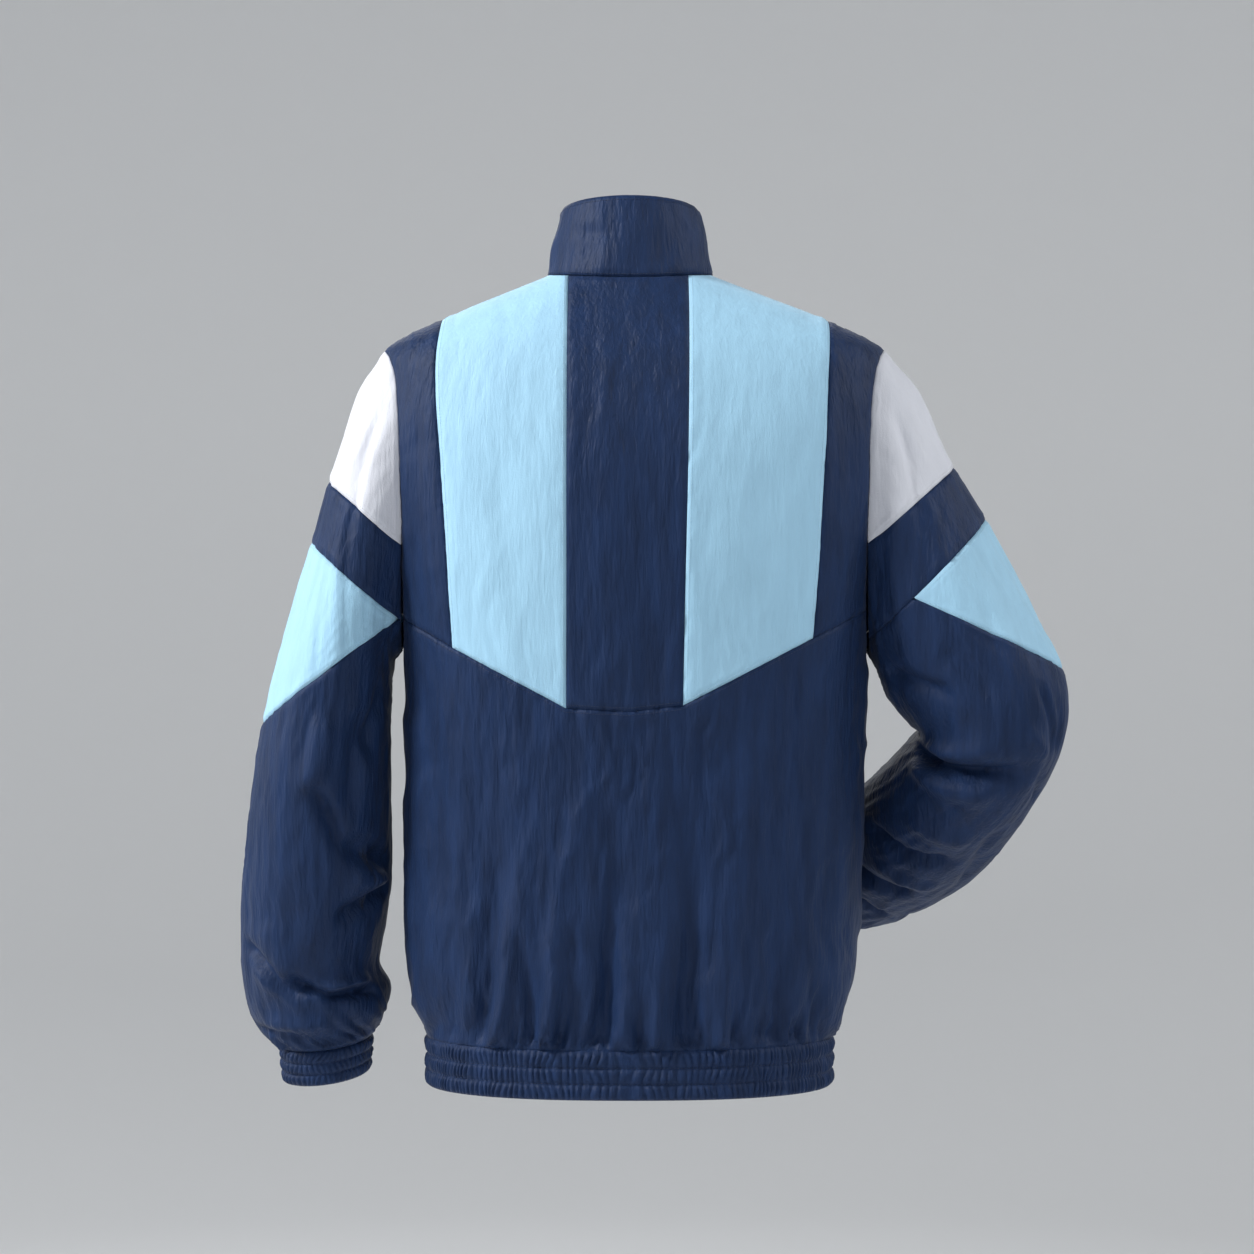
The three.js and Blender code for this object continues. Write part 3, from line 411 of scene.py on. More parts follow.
# All creases of a table at points of the body, each fading towards its ends
def crease_sum(rows, x, z):
    total = np.zeros(np.broadcast(x, z).shape)
    for x0, z0, x1, z1, width, depth in zip(*rows.values()):
        run = np.array([x1 - x0, z1 - z0])
        length = np.hypot(*run)
        along = ((x - x0) * run[0] + (z - z0) * run[1]) / length
        off = ((x - x0) * run[1] - (z - z0) * run[0]) / length
        off = off + 5 * noise(along / 45, z * 0 + width, 5)
        body = smooth(along / (0.35 * length)) * smooth((length - along) / (0.35 * length))
        total += depth * bump(off / width) * body
    return total


PUCKER_DEPTH, PUCKER_WIDTH, PUCKER_REACH = 6.0, 6.5, 27  # the gathers above the waistband
YOKE_TUCK_DEPTH = 1.5  # the small tucks under the middle of the yoke seam


# How far folds, creases and gathers move the body's cloth
def body_relief(x, z, side):
    rise = z + BODY_LENGTH
    folds = BACK_FOLDS if side > 0 else FRONT_FOLDS
    place = x if side > 0 else np.abs(x)
    seam = 0.45 + 0.55 * smooth(rise / 14)
    total = np.zeros(np.broadcast(x, z).shape)
    for fx, tall, lean, width, depth in zip(*folds.values()):
        height = np.clip(rise / tall, 0, 1)
        wander = 3.5 * noise(rise / 45, rise * 0 + fx, 4) * smooth(rise / 30)
        off = (place - fx + lean * rise + wander) / (width * (1 + 0.9 * height))
        total += FOLD_DEPTH * depth * bump(off) * (1 - smooth(height)) * seam
    total += crease_sum(BACK_CREASES if side > 0 else FRONT_CREASES, x, z)
    around = x * side
    pucker = np.abs(noise(around / PUCKER_WIDTH + 0.02 * rise, rise / 60, 6)) * 2 - 0.6
    total -= PUCKER_DEPTH * pucker * np.exp(-rise / PUCKER_REACH)
    lower = smooth((-z - 250) / 200)
    strength = 1.0 + 1.0 * lower
    if side > 0:
        below_yoke = yoke(x) - z
        tucks = np.abs(noise(x / 4.5, z / 50, 7)) * 2 - 0.6
        near = np.exp(-np.abs(below_yoke) / 22) * bump(x / 62) * (below_yoke > -0.3)
        total -= YOKE_TUCK_DEPTH * tucks * near
        light = smooth((np.abs(x) - 48) / 6) * smooth((162 - np.abs(x)) / 6) * (below_yoke < 0)
        strength = strength * (1 - 0.45 * light)
    else:
        strength = strength * smooth((np.abs(x) - 5) / 18)
    calm = smooth(-(z + 2) / 40)
    total = total + crinkle(around, z, 0 if side > 0 else 3) * strength * calm
    return total * smooth(rise / EDGE_CALM)


# Point and outward direction on the body, behind (side 1) or before (side -1)
def body_spot(x, z, side, relief=True):
    half, power, across = half_width(z), squareness(z), x - centre_line(z)
    depth_at = back_depth if side > 0 else front_depth
    depth = depth_at(z)
    share = np.minimum(1, np.abs(across) / half)
    back = (1 - share**power) ** (1 / power)
    grow = lambda size: (size(z) - size(z - 1)) / size(z)
    out = np.stack(
        [
            np.sign(across) * share ** (power - 1) / half,
            side * back ** (power - 1) / depth,
            -(share**power) * grow(half_width) - back**power * grow(depth_at),
        ],
        -1,
    )
    out /= np.linalg.norm(out, axis=-1, keepdims=True)
    point = np.stack([x, side * np.maximum(HALF_SEAM, back * depth), z + 0 * x], -1)
    if relief:
        edge = smooth(np.abs(point[..., 1]) / 25)
        amount = body_relief(x, z, side)
        middle = 0.5 * (amount + body_relief(x, z, -side)) if np.any(edge < 1) else amount
        point = point + out * (amount * edge + middle * (1 - edge))[..., None]
    return point, out


# Height of the neck seam and the shoulder ridge
def upper_edge(x, side):
    drop = BACK_NECK_DROP if side > 0 else FRONT_NECK_DROP
    neck = -drop * (1 - np.minimum(1, np.abs(x) / NECK_HALF) ** 2) - HALF_SEAM
    ridge = -solve(lambda d: half_width(-d) - np.abs(x - centre_line(-d)), 0 * x, SHOULDER_DROP)
    return np.where(np.abs(x) < NECK_HALF, neck, ridge)


# The armhole, and the side seam below it; hand 1 is the wearer's left
def body_edge(z, side, hand):
    armhole = armhole_back if side > 0 else armhole_front
    side_seam = half_width(z)
    reach = np.where(z > -UNDERARM_DROP, np.minimum(armhole(z) - HALF_SEAM, side_seam), side_seam)
    return centre_line(z) + hand * reach


# Distance in mm from each point of a grid to its nearest border, along the grid's own lines
def border_distance(points, wraps=False):
    across = np.linalg.norm(np.diff(points, axis=1), axis=2)
    down = np.linalg.norm(np.diff(points, axis=0), axis=2)
    from_left = np.pad(np.cumsum(across, 1), ((0, 0), (1, 0)))
    from_top = np.pad(np.cumsum(down, 0), ((1, 0), (0, 0)))
    rows = np.minimum(from_top, from_top[-1:] - from_top)
    return rows if wraps else np.minimum(rows, np.minimum(from_left, from_left[:, -1:] - from_left))


# Normals of a grid of points, which may wrap around a sleeve
def grid_normals(points, wraps=False):
    if wraps:
        padded = np.concatenate([points[:, -1:], points, points[:, :1]], 1)
        across = padded[:, 2:] - padded[:, :-2]
    else:
        across = np.gradient(points, axis=1)
    normal = np.cross(np.gradient(points, axis=0), across)
    return normal / np.maximum(np.linalg.norm(normal, axis=-1, keepdims=True), 1e-9)


# Sinks a shell's borders into the seams, with small puckers beside them
def seam_relief(points, out, wraps):
    near = border_distance(points, wraps)
    place = points[..., 0] + points[..., 1] * 0.8 + points[..., 2] * 0.9
    tucks = noise(place / 4.5, near / 9, 6) * np.exp(-((near - 3) ** 2) / 40)
    border, stitched, puffed = bump(near / 1.7), bump((near - 3.2) / 0.9), bump((near - 6) / 3)
    relief = -SINK * border - 0.3 * stitched + 0.3 * tucks + 0.35 * puffed
    return points + out * relief[..., None]


# A mesh of points in mm, as a piece in the scene
def mesh_piece(name, points, faces, rounded=True):
    mesh = bpy.data.meshes.new(name)
    mesh.from_pydata((points * MM).tolist(), [], faces)
    if rounded:
        mesh.shade_smooth()
    piece = bpy.data.objects.new(name, mesh)
    bpy.context.scene.collection.objects.link(piece)
    return piece


# A closed thin shell from a grid of points and outward directions
def shell(name, points, out, thickness=CLOTH, wraps=False):
    rows, columns = points.shape[:2]
    inner = points - out * thickness
    verts = np.concatenate([points.reshape(-1, 3), inner.reshape(-1, 3)])
    count = rows * columns
    number = np.arange(count).reshape(rows, columns)
    if wraps:
        number = np.concatenate([number, number[:, :1]], 1)
    quads = lambda a, b, c, d: np.stack([a.ravel(), b.ravel(), c.ravel(), d.ravel()], 1)
    top = quads(number[:-1, :-1], number[:-1, 1:], number[1:, 1:], number[1:, :-1])
    parts = [top, top[:, ::-1] + count]
    borders = [number[0], number[-1][::-1]]
    if not wraps:
        borders += [number[::-1, 0], number[:, -1]]
    for line in borders:
        parts.append(quads(line[1:], line[:-1], line[:-1] + count, line[1:] + count))
    faces = np.concatenate(parts)
    tested = top[len(top) // 2]
    a, b, c = verts[tested[:3]]
    if np.dot(np.cross(b - a, c - a), out.reshape(-1, 3)[tested[0]]) < 0:
        faces = faces[:, ::-1]
    return mesh_piece(name, verts, faces.tolist())


# Short stitches along a line of points, lying on the cloth: starts, ends and outward directions
def stitch_points(line, out, step=STITCH_STEP):
    away = np.pad(np.cumsum(np.linalg.norm(np.diff(line, axis=0), axis=1)), (1, 0))
    starts = np.arange(0.6, away[-1] - STITCH, step)
    at = lambda s, values: np.stack([np.interp(s, away, values[:, k]) for k in range(3)], 1)
    return at(starts, line), at(starts + STITCH, line), at(starts + STITCH / 2, out)


STITCHES = {"navy": [], "light": [], "white": []}


# Topstitching beside a grid's first or last row or column (0 or 1)
def add_stitches(thread, points, out, near_row=None, near_column=None, inset=3.2):
    order, outs = (points, out) if near_column is None else (np.swapaxes(k, 0, 1) for k in (points, out))
    if near_row == 1 or near_column == 1:
        order, outs = order[::-1], outs[::-1]
    steps = np.linalg.norm(np.diff(order, axis=0), axis=2)
    away = np.pad(np.cumsum(steps, 0), ((1, 0), (0, 0)))
    line, normals = [], []
    for k in range(order.shape[1]):
        if away[-1, k] < 2.5 * inset:
            continue
        for found, values in ((line, order), (normals, outs)):
            found.append([np.interp(inset, away[:, k], values[:, k, axis]) for axis in range(3)])
    if len(line) > 3:
        STITCHES[thread].append(stitch_points(np.array(line), np.array(normals)))


# All stitches of one thread as one mesh of small beads
def stitch_mesh(name, runs, radius=0.26):
    starts, ends, outs = (np.concatenate([run[k] for run in runs]) for k in range(3))
    along = ends - starts
    along /= np.linalg.norm(along, axis=1, keepdims=True)
    side = np.cross(along, outs)
    side /= np.linalg.norm(side, axis=1, keepdims=True)
    up = np.cross(side, along)
    middle = (starts + ends) / 2 + up * 0.15
    length = np.linalg.norm(ends - starts, axis=1)[:, None]
    rings = []
    sides = STITCH_SIDES
    for share, size, sunk in [(-0.5, 0.35, 0.12), (-0.3, 1.0, 0), (0.3, 1.0, 0), (0.5, 0.35, 0.12)]:
        for turn in range(sides):
            angle = 2 * math.pi * turn / sides
            sway = (side * math.cos(angle) + up * math.sin(angle)) * radius * size
            rings.append(middle + along * length * share + sway - up * sunk)
    faces = []
    for ring in range(3):
        for turn in range(sides):
            a, b = sides * ring + turn, sides * ring + (turn + 1) % sides
            faces.append([a, b, b + sides, a + sides])
    base = np.arange(len(starts))[:, None] * 4 * sides
    quads = np.concatenate([base + np.array(face) for face in faces])
    first, last = np.arange(sides), np.arange(3 * sides, 4 * sides)
    caps = np.concatenate([base + np.roll(first[::-1], 1), base + last])
    return mesh_piece(name, np.stack(rings, 1).reshape(-1, 3), quads.tolist() + caps.tolist())


def lerp(a, b, t):
    return a + (b - a) * t


# A body panel as a grid: edges as functions of the height, lower and upper lines as functions of x.
# below and above share out its width at both ends, and crowd packs the rows towards the upper line.
def body_grid(side, start, stop, lower, upper, below, above, count, crowd=1.6):
    ends = []
    for edge in (start, stop):
        bottom = float(lower(edge(np.array(float(lower(edge(np.array(-BODY_LENGTH))))))))
        top = float(upper(edge(np.array(-SHOULDER_DROP))))
        for _ in range(6):
            top = float(upper(edge(np.array(top))))
        ends.append((bottom, top))
    v = 1 - (1 - np.linspace(0, 1, count)) ** crowd
    left = start(lerp(*ends[0], v))[:, None]
    right = stop(lerp(*ends[1], v))[:, None]
    share = lerp(below[None, :], above[None, :], v[:, None])
    foot = lower(lerp(float(start(np.array(ends[0][0]))), float(stop(np.array(ends[1][0]))), below))
    head = upper(lerp(float(start(np.array(ends[0][1]))), float(stop(np.array(ends[1][1]))), above))
    return body_spot(lerp(left, right, share), lerp(foot[None, :], head[None, :], v[:, None]), side)


PIECES = {}


# Sinks the borders, softens the normals and makes the cloth of one node
def finish_shell(name, points, out, wraps=False, thickness=CLOTH):
    points = seam_relief(points, out, wraps)
    true_out = grid_normals(points, wraps)
    flip = np.sign(np.sum(true_out * out, axis=-1, keepdims=True))
    soft = true_out * flip * 0.5 + out * 0.5
    soft /= np.linalg.norm(soft, axis=-1, keepdims=True)
    PIECES[name] = shell("cloth_" + name, points, soft, thickness, wraps)
    return points, soft


def seam_line(column, inset):
    line = curve(BACK_SEAMS, "z", column)
    return lambda z: line(z) + inset


# Shares of a width that crowd before the knot, where the neck seam meets the shoulder
def with_knot(knot, count):
    first = max(4, int(count * knot * 1.4))
    inner = knot * np.sin(np.pi / 2 * np.linspace(0, 1, first))
    return np.concatenate([inner, np.linspace(knot, 1, count - first + 1)[1:]])


def upper_back():
    lower = lambda x: yoke(x) + HALF_SEAM
    upper = lambda x: upper_edge(x, 1)
    line, gap = seam_line, HALF_SEAM
    left_edge = lambda z: body_edge(z, 1, 1)
    right_edge = lambda z: body_edge(z, 1, -1)
    panels = [
        ("back_centre_panel", line("strip_left", -gap), line("strip_right", gap), 103),
        ("back_blue_panel_left", line("strip_left", gap), line("light_left", -gap), 108),
        ("back_blue_panel_right", line("strip_right", -gap), line("light_right", gap), 120),
        ("back_side_panel_left", line("light_left", gap), left_edge, 50),
        ("back_side_panel_right", line("light_right", -gap), right_edge, 50),
    ]
    for name, start, stop, width in panels:
        count = int(width / BACK_GRID)
        below = np.linspace(0, 1, count)
        above = with_knot((NECK_HALF - STRIP_HALF) / width, count) if "blue" in name else below
        spots = body_grid(1, start, stop, lower, upper, below, above, BACK_ROWS)
        points, out = finish_shell(name, *spots)
        if "blue" in name:
            add_stitches("light", points, out, near_column=0)
            add_stitches("light", points, out, near_column=1)
            add_stitches("light", points, out, near_row=0)
        elif "centre" in name:
            add_stitches("navy", points, out, near_row=0)


def lower_back():
    even_share = np.linspace(0, 1, LOWER_COLUMNS)
    eased = 0.5 - 0.5 * np.cos(np.pi * even_share)
    spots = body_grid(
        1,
        lambda z: body_edge(z, 1, -1),
        lambda z: body_edge(z, 1, 1),
        lambda x: -BODY_LENGTH + HALF_SEAM + 0 * x,
        lambda x: yoke(x) - HALF_SEAM,
        lerp(even_share, eased, 0.75),
        lerp(even_share, eased, 0.25),
        LOWER_ROWS,
        crowd=1.0,
    )
    points, out = finish_shell("back_lower_panel", *spots)
    add_stitches("navy", points, out, near_row=1)


def fronts():
    for name, hand in (("front_left_panel", 1), ("front_right_panel", -1)):
        inner = ZIP_TAPE_HALF + HALF_SEAM
        width = abs(float(body_edge(np.array(-SHOULDER_DROP), -1, hand))) - inner
        below = np.sin(np.pi / 2 * np.linspace(0, 1, FRONT_COLUMNS)) ** (2 / 2.4)
        spots = body_grid(
            -1,
            lambda z: hand * inner + 0 * z,
            lambda z: body_edge(z, -1, hand),
            lambda x: -BODY_LENGTH + HALF_SEAM + 0 * x,
            lambda x: upper_edge(x, -1),
            below,
            with_knot((NECK_HALF - inner) / width, FRONT_COLUMNS),
            FRONT_ROWS,
            crowd=1.4,
        )
        points, out = finish_shell(name, *spots)
        add_stitches("navy", points, out, near_column=0)


# Point and outward direction on the collar: share runs from -1 to 1 around the back, rise from 0 to 1
def collar_spot(share, rise):
    clear = (ZIP_TAPE_HALF + HALF_SEAM) / lerp(NECK_HALF, COLLAR_TOP["half"], rise)
    turn = np.radians(share * (180 - np.degrees(np.arcsin(clear))))
    sin, cos = np.sin(turn), np.cos(turn)
    x = NECK_HALF * sin
    inside = np.clip(x, 0.01 - NECK_HALF, NECK_HALF - 0.01)
    feet = []
    for side in (1, -1):
        z = upper_edge(inside, side) + 2 * HALF_SEAM
        point, _ = body_spot(x, z, side, relief=False)
        feet.append(np.stack([x, point[..., 1], z], -1))
    behind = (cos >= 0)[..., None]
    foot = np.where(behind, feet[0], feet[1])
    reach = np.where(cos >= 0, COLLAR_TOP["back"], COLLAR_TOP["front"])
    lift = np.where(cos >= 0, COLLAR_TOP["back_rise"], COLLAR_TOP["front_drop"]) * cos
    head = np.stack([COLLAR_TOP["half"] * sin, reach * cos, COLLAR_TOP["z"] + lift], -1)
    point = lerp(foot, head, rise[..., None])
    out = np.stack([sin, cos, 0 * sin + 0.2], -1)
    out /= np.linalg.norm(out, axis=-1, keepdims=True)
    calm = (1 - share**4) * np.sin(np.pi * rise)
    around, high = np.degrees(turn) * 1.15, rise * 62
    fold = bump((high - 30 - 5 * np.sin(turn * 2)) / 5) * bump((around - 28) / 40)
    crumple = 1.1 * np.sin(5 * turn + 3 * rise) - 1.3 * fold
    crumple = crumple + 1.5 * noise(around / 34, high / 15, 1) + 0.9 * noise(around / 15, high / 21, 2)
    crumple = crumple * calm + 0.7 * crinkle(around, high, 3) * smooth(calm * 3)
    return point + out * crumple[..., None], out


def collar():
    share, rise = np.meshgrid(np.linspace(-1, 1, COLLAR_COLUMNS), np.linspace(0, 1, COLLAR_ROWS))
    points, out = finish_shell("collar", *collar_spot(share, rise), thickness=COLLAR_CLOTH)
    add_stitches("navy", points, out, near_row=0, inset=2.4)
    add_stitches("navy", points, out, near_row=1, inset=4.0)


# Shirred cloth: ribs that puff out between the rows of elastic
def shirred(name, ring, ribs, wraps, height):
    share = np.linspace(0, 1, ribs * RIB_COLUMNS, endpoint=not wraps)
    level = np.concatenate([[-TUCK], np.linspace(0, 1, BAND_ROWS)])
    t, h = np.meshgrid(share, level)
    point, out = ring(t, h)
    h = np.maximum(h, 0)
    rib = t * ribs
    row = np.floor(np.clip(h, 0, 0.9999) * ELASTICS)
    drift = 0.55 * noise(rib / 2.3, h * 3.2, 4) + 0.3 * noise(rib / 5, row + 0.5, 5)
    wave = np.abs(np.sin(np.pi * (rib + drift * smooth(np.minimum(t, 1 - t) * ribs / 3))))
    puff = np.sqrt(np.abs(np.sin(np.pi * ELASTICS * h)) + 0.02)
    size = 0.8 + 0.35 * noise(rib / 1.7, h * 5, 6)
    relief = height * (0.05 + 0.95 * wave**0.6) * puff * size
    relief = relief - 0.5 * bump((h - np.round(h * ELASTICS) / ELASTICS) / 0.02)
    relief[0] = -TUCK_DEPTH
    points = point + out * relief[..., None]
    PIECES[name] = shell("cloth_" + name, points, out, BAND_CLOTH, wraps)
    for elastic in range(1, ELASTICS):
        k = 1 + round(elastic / ELASTICS * (BAND_ROWS - 1))
        STITCHES["navy"].append(stitch_points(points[k], out[k], SHIRRED_STEP))


def waistband():
    base = np.array(-BODY_LENGTH)
    clear = float((ZIP_TAPE_HALF + HALF_SEAM) / half_width(base))
    start = math.asin(clear ** float(squareness(base) / 2))

    def ring(t, h):
        turn = lerp(start, 2 * np.pi - start, t)
        sin, cos = np.sin(turn), np.cos(turn)
        z = -BODY_LENGTH - HALF_SEAM - (BAND_HEIGHT - HALF_SEAM) * h
        power = 2 / squareness(z)
        x = np.sign(sin) * half_width(z) * np.abs(sin) ** power
        behind = cos < 0
        y = np.where(behind, back_depth(z), -front_depth(z)) * np.abs(cos) ** power
        out = np.stack([x / half_width(z) ** 2, y / front_depth(z) ** 2, 0 * z], -1)
        out /= np.linalg.norm(out, axis=-1, keepdims=True)
        return np.stack([x + centre_line(z) * np.abs(sin), y, z], -1), out

    shirred("waistband", ring, WAIST_RIBS, False, WAIST_PUFF)


# A sleeve as functions of t, its ring number, and the turn around it in degrees: 0 is its outer line,
# 90 its back and 180 its inner line. Its first rings are drawn to the armhole.
def sleeve_of(hand, rings, creases, seams):
    column = {name: curve(rings, None, name) for name in rings}
    end = len(rings["y"]) - 1
    steps = np.linspace(0, end, 20 * end + 1)

    def centre(t):
        x, z = ((column["outer_" + k](t) + column["inner_" + k](t)) / 2 for k in "xz")
        return np.stack([x, column["y"](t), z], -1)

    def ring_frame(t):
        x, z = ((column["outer_" + k](t) - column["inner_" + k](t)) / 2 for k in "xz")
        half = np.stack([x, 0 * t, z], -1)
        along = centre(np.minimum(t + 0.2, end)) - centre(np.maximum(t - 0.2, 0))
        along /= np.linalg.norm(along, axis=-1, keepdims=True)
        back = np.cross(along, half)
        back /= np.linalg.norm(back, axis=-1, keepdims=True)
        return centre(t), half, along, back * (column["depth"](t) * np.sign(back[..., 1]))[..., None]

    def ring(t, turn):
        middle, half, _, back = ring_frame(t)
        angle = np.radians(turn)[..., None]
        return middle + half * np.cos(angle) + back * np.sin(angle)

    turns = np.linspace(-181, 181, 725)
    wrap = lambda turn: (turn + 180) % 360 - 180

    def hole(turn):
        wrapped = wrap(turn)
        z = lerp(-SHOULDER_DROP, -UNDERARM_DROP, (1 - np.cos(np.radians(wrapped))) / 2)
        found = [body_spot(body_edge(z, side, hand), z, side) for side in (1, -1)]
        behind = (wrapped >= 0)[..., None]
        point, out = (np.where(behind, found[0][k], found[1][k]) for k in (0, 1))
        point[..., 1] = np.where(np.abs(np.sin(np.radians(wrapped))) < 0.01, 0, point[..., 1])
        return point, out

    hole_point, hole_out = hole(turns)
    across = np.cross(hole(turns + 1)[0] - hole(turns - 1)[0], hole_out)
    across /= np.maximum(np.linalg.norm(across, axis=-1, keepdims=True), 1e-9)
    across *= (2 * HALF_SEAM * np.sign(across[..., 0] * hand))[..., None]
    under = smooth((np.abs(turns) - 125) / 40)
    hole_point = hole_point + across * (1 - under)[..., None]
    hole_point[..., 0] += hand * 2 * HALF_SEAM * lerp(0.3, 1, under)
    shift = hole_point - ring(0 * turns, turns)

    def look_up(values, turn):
        return np.stack([np.interp(turn, turns, values[:, k]) for k in range(3)], -1)

    def shape(t, turn):
        blend = 1 - smooth(t / 3)
        return ring(t, turn) + look_up(shift, wrap(turn)) * blend[..., None]

    middle = centre(steps)
    run = np.pad(np.cumsum(np.linalg.norm(np.diff(middle, axis=0), axis=1)), (1, 0))
    radius = np.linalg.norm(ring_frame(steps)[1], axis=1) * 0.5 + column["depth"](steps) * 0.5
    length_at = lambda t: np.interp(t, steps, run)
    radius_at = lambda t: np.interp(t, steps, radius)

    def relief(t, turn):
        s, r = length_at(t), radius_at(t)
        total = 0 * t
        for t0, turn0, t1, turn1, width, depth in zip(*creases.values()):
            s0, s1 = length_at(t0), length_at(t1)
            r0 = radius_at((t0 + t1) / 2)
            a0, a1 = math.radians(turn0) * r0, math.radians(turn1) * r0
            away = np.radians(wrap(turn - (turn0 + turn1) / 2)) * r0 + (a0 + a1) / 2
            line = np.array([s1 - s0, a1 - a0])
            size = np.hypot(*line)
            along = ((s - s0) * line[0] + (away - a0) * line[1]) / size
            off = ((s - s0) * line[1] - (away - a0) * line[0]) / size
            off = off + 4 * noise(along / 38, 0 * t + turn0, 5)
            body = smooth(along / (0.3 * size) + 0.3) * smooth((size - along) / (0.3 * size) + 0.3)
            total = total + CREASE_DEPTH * depth * bump(off / width) * body
        left = run[-1] - s
        around = np.radians(turn) * r
        girth = 2 * np.pi * r
        seam = 0.5 * smooth((np.abs(turn) - 160) / 20)
        ways = lambda make: (1 - seam) * make(around) + seam * make(around - np.sign(turn) * girth)
        gathers = ways(lambda a: np.abs(noise(a / 7, left / 70, 6)) * 2 - 0.7)
        total = total - 4.4 * gathers * np.exp(-left / 24) * (0.5 + 0.5 * smooth(left / 8))
        total = total + ways(lambda a: crinkle(a, s, 1)) * lerp(0.9, 1.5, smooth(s / 300))
        free = smooth(left / EDGE_CALM)
        return total * free - EDGE_SINK * (1 - free)

    def spot(t, turn):
        point = shape(t, turn)
        down = shape(t + 0.05, turn) - shape(np.maximum(0, t - 0.05), turn)
        out = np.cross(down, shape(t, turn + 2) - shape(t, turn - 2))
        out /= np.linalg.norm(out, axis=-1, keepdims=True)
        facing = np.sum(out * (point - shape(t, turn + 180)), axis=-1, keepdims=True)
        out = np.where(facing < 0, -out, out)
        share = np.maximum(smooth((np.abs(turn) - 95) / 50), smooth(t / 0.6))[..., None]
        out = out * share + look_up(hole_out, wrap(turn)) * (1 - share)
        out /= np.linalg.norm(out, axis=-1, keepdims=True)
        return point + out * (relief(t, turn) * smooth(t * 1.4))[..., None], out

    def crossing(seam, turn, inset=0.0):
        (x0, z0), (x1, z1) = seams[seam]
        size = -hand * math.hypot(x1 - x0, z1 - z0)

        def below(t):
            p = shape(t, turn)
            return ((p[..., 0] - x0) * (z1 - z0) - (p[..., 2] - z0) * (x1 - x0)) / size - inset

        return np.where(below(0 * turn) > 0, 0, solve(below, 0 * turn, 0 * turn + 10))

    return dict(end=end, spot=spot, crossing=crossing, frame=ring_frame)


# Turns on both sides of a sleeve where one line across it meets another
def meeting(higher, lower):
    found = []
    for side in (-1, 1):
        low, high = 5.0, 175.0
        for _ in range(30):
            middle = (low + high) / 2
            turn = np.array([side * middle])
            if float((higher(turn) - lower(turn))[0]) < 0:
                low = middle
            else:
                high = middle
        found.append(side * low)
    return found


# The four cloths of a sleeve and its cuff
def sleeve_pieces(word, sleeve):
    crossing, spot, end = sleeve["crossing"], sleeve["spot"], sleeve["end"]
    at = lambda seam, inset: (lambda turn: crossing(seam, turn, inset))
    none = lambda turn: 0 * turn
    cap = meeting(none, lambda turn: at("cap", 0)(turn) - 0.0005)
    band = meeting(none, lambda turn: at("band", 0)(turn) - 0.0005)
    kite = meeting(at("band", 0), at("kite", 0))

    def patch(name, ends, start, stop, rows, marks=()):
        low, high = ends[0] + PATCH_BLUNT, ends[1] - PATCH_BLUNT
        even = np.linspace(low, high, int((high - low) / PATCH_STEP))
        turns = np.unique(np.concatenate([even, [m for m in marks if low < m < high]]))
        v = np.linspace(0, 1, rows)[:, None]
        t = lerp(start(turns)[None, :], stop(turns)[None, :], v)
        return finish_shell(f"sleeve_{word}_{name}", *spot(t, turns[None, :] + 0 * t))

    points, out = patch("cap", cap, none, at("cap", -HALF_SEAM), 50)
    add_stitches("white", points, out, near_row=1)
    in_cap = lambda turn: (turn > cap[0]) & (turn < cap[1])
    under_cap = lambda turn: np.where(in_cap(turn), at("cap", HALF_SEAM)(turn), 0)
    patch("band", band, under_cap, at("band", -HALF_SEAM), 30, cap)
    points, out = patch("kite", kite, at("band", HALF_SEAM), at("kite", -HALF_SEAM), 44)
    add_stitches("light", points, out, near_row=0)
    add_stitches("light", points, out, near_row=1)
    in_kite = lambda turn: (turn > kite[0]) & (turn < kite[1])
    turns = np.linspace(-180, 180, SLEEVE_COLUMNS, endpoint=False)
    top = np.where(in_kite(turns), at("kite", HALF_SEAM)(turns), at("band", HALF_SEAM)(turns))
    t = lerp(top[None, :], end, np.linspace(0, 1, SLEEVE_ROWS)[:, None])
    finish_shell(f"sleeve_{word}_lower", *spot(t, turns[None, :] + 0 * t), wraps=True)
    middle, half, along, back = (value[0] for value in sleeve["frame"](np.array([float(end)])))

    def ring(share, h):
        turn = 2 * np.pi * share[..., None]
        cos, sin = np.cos(turn), np.sin(turn)
        size = lerp(*CUFF_WIDTH, h)[..., None]
        out = half / np.linalg.norm(half) * cos + back / np.linalg.norm(back) * sin
        point = middle + along * (CUFF_CLEAR + CUFF_HEIGHT * h)[..., None]
        return point + half * size * cos + back * size * sin, out

    shirred(f"cuff_{word}", ring, CUFF_RIBS, True, CUFF_PUFF)


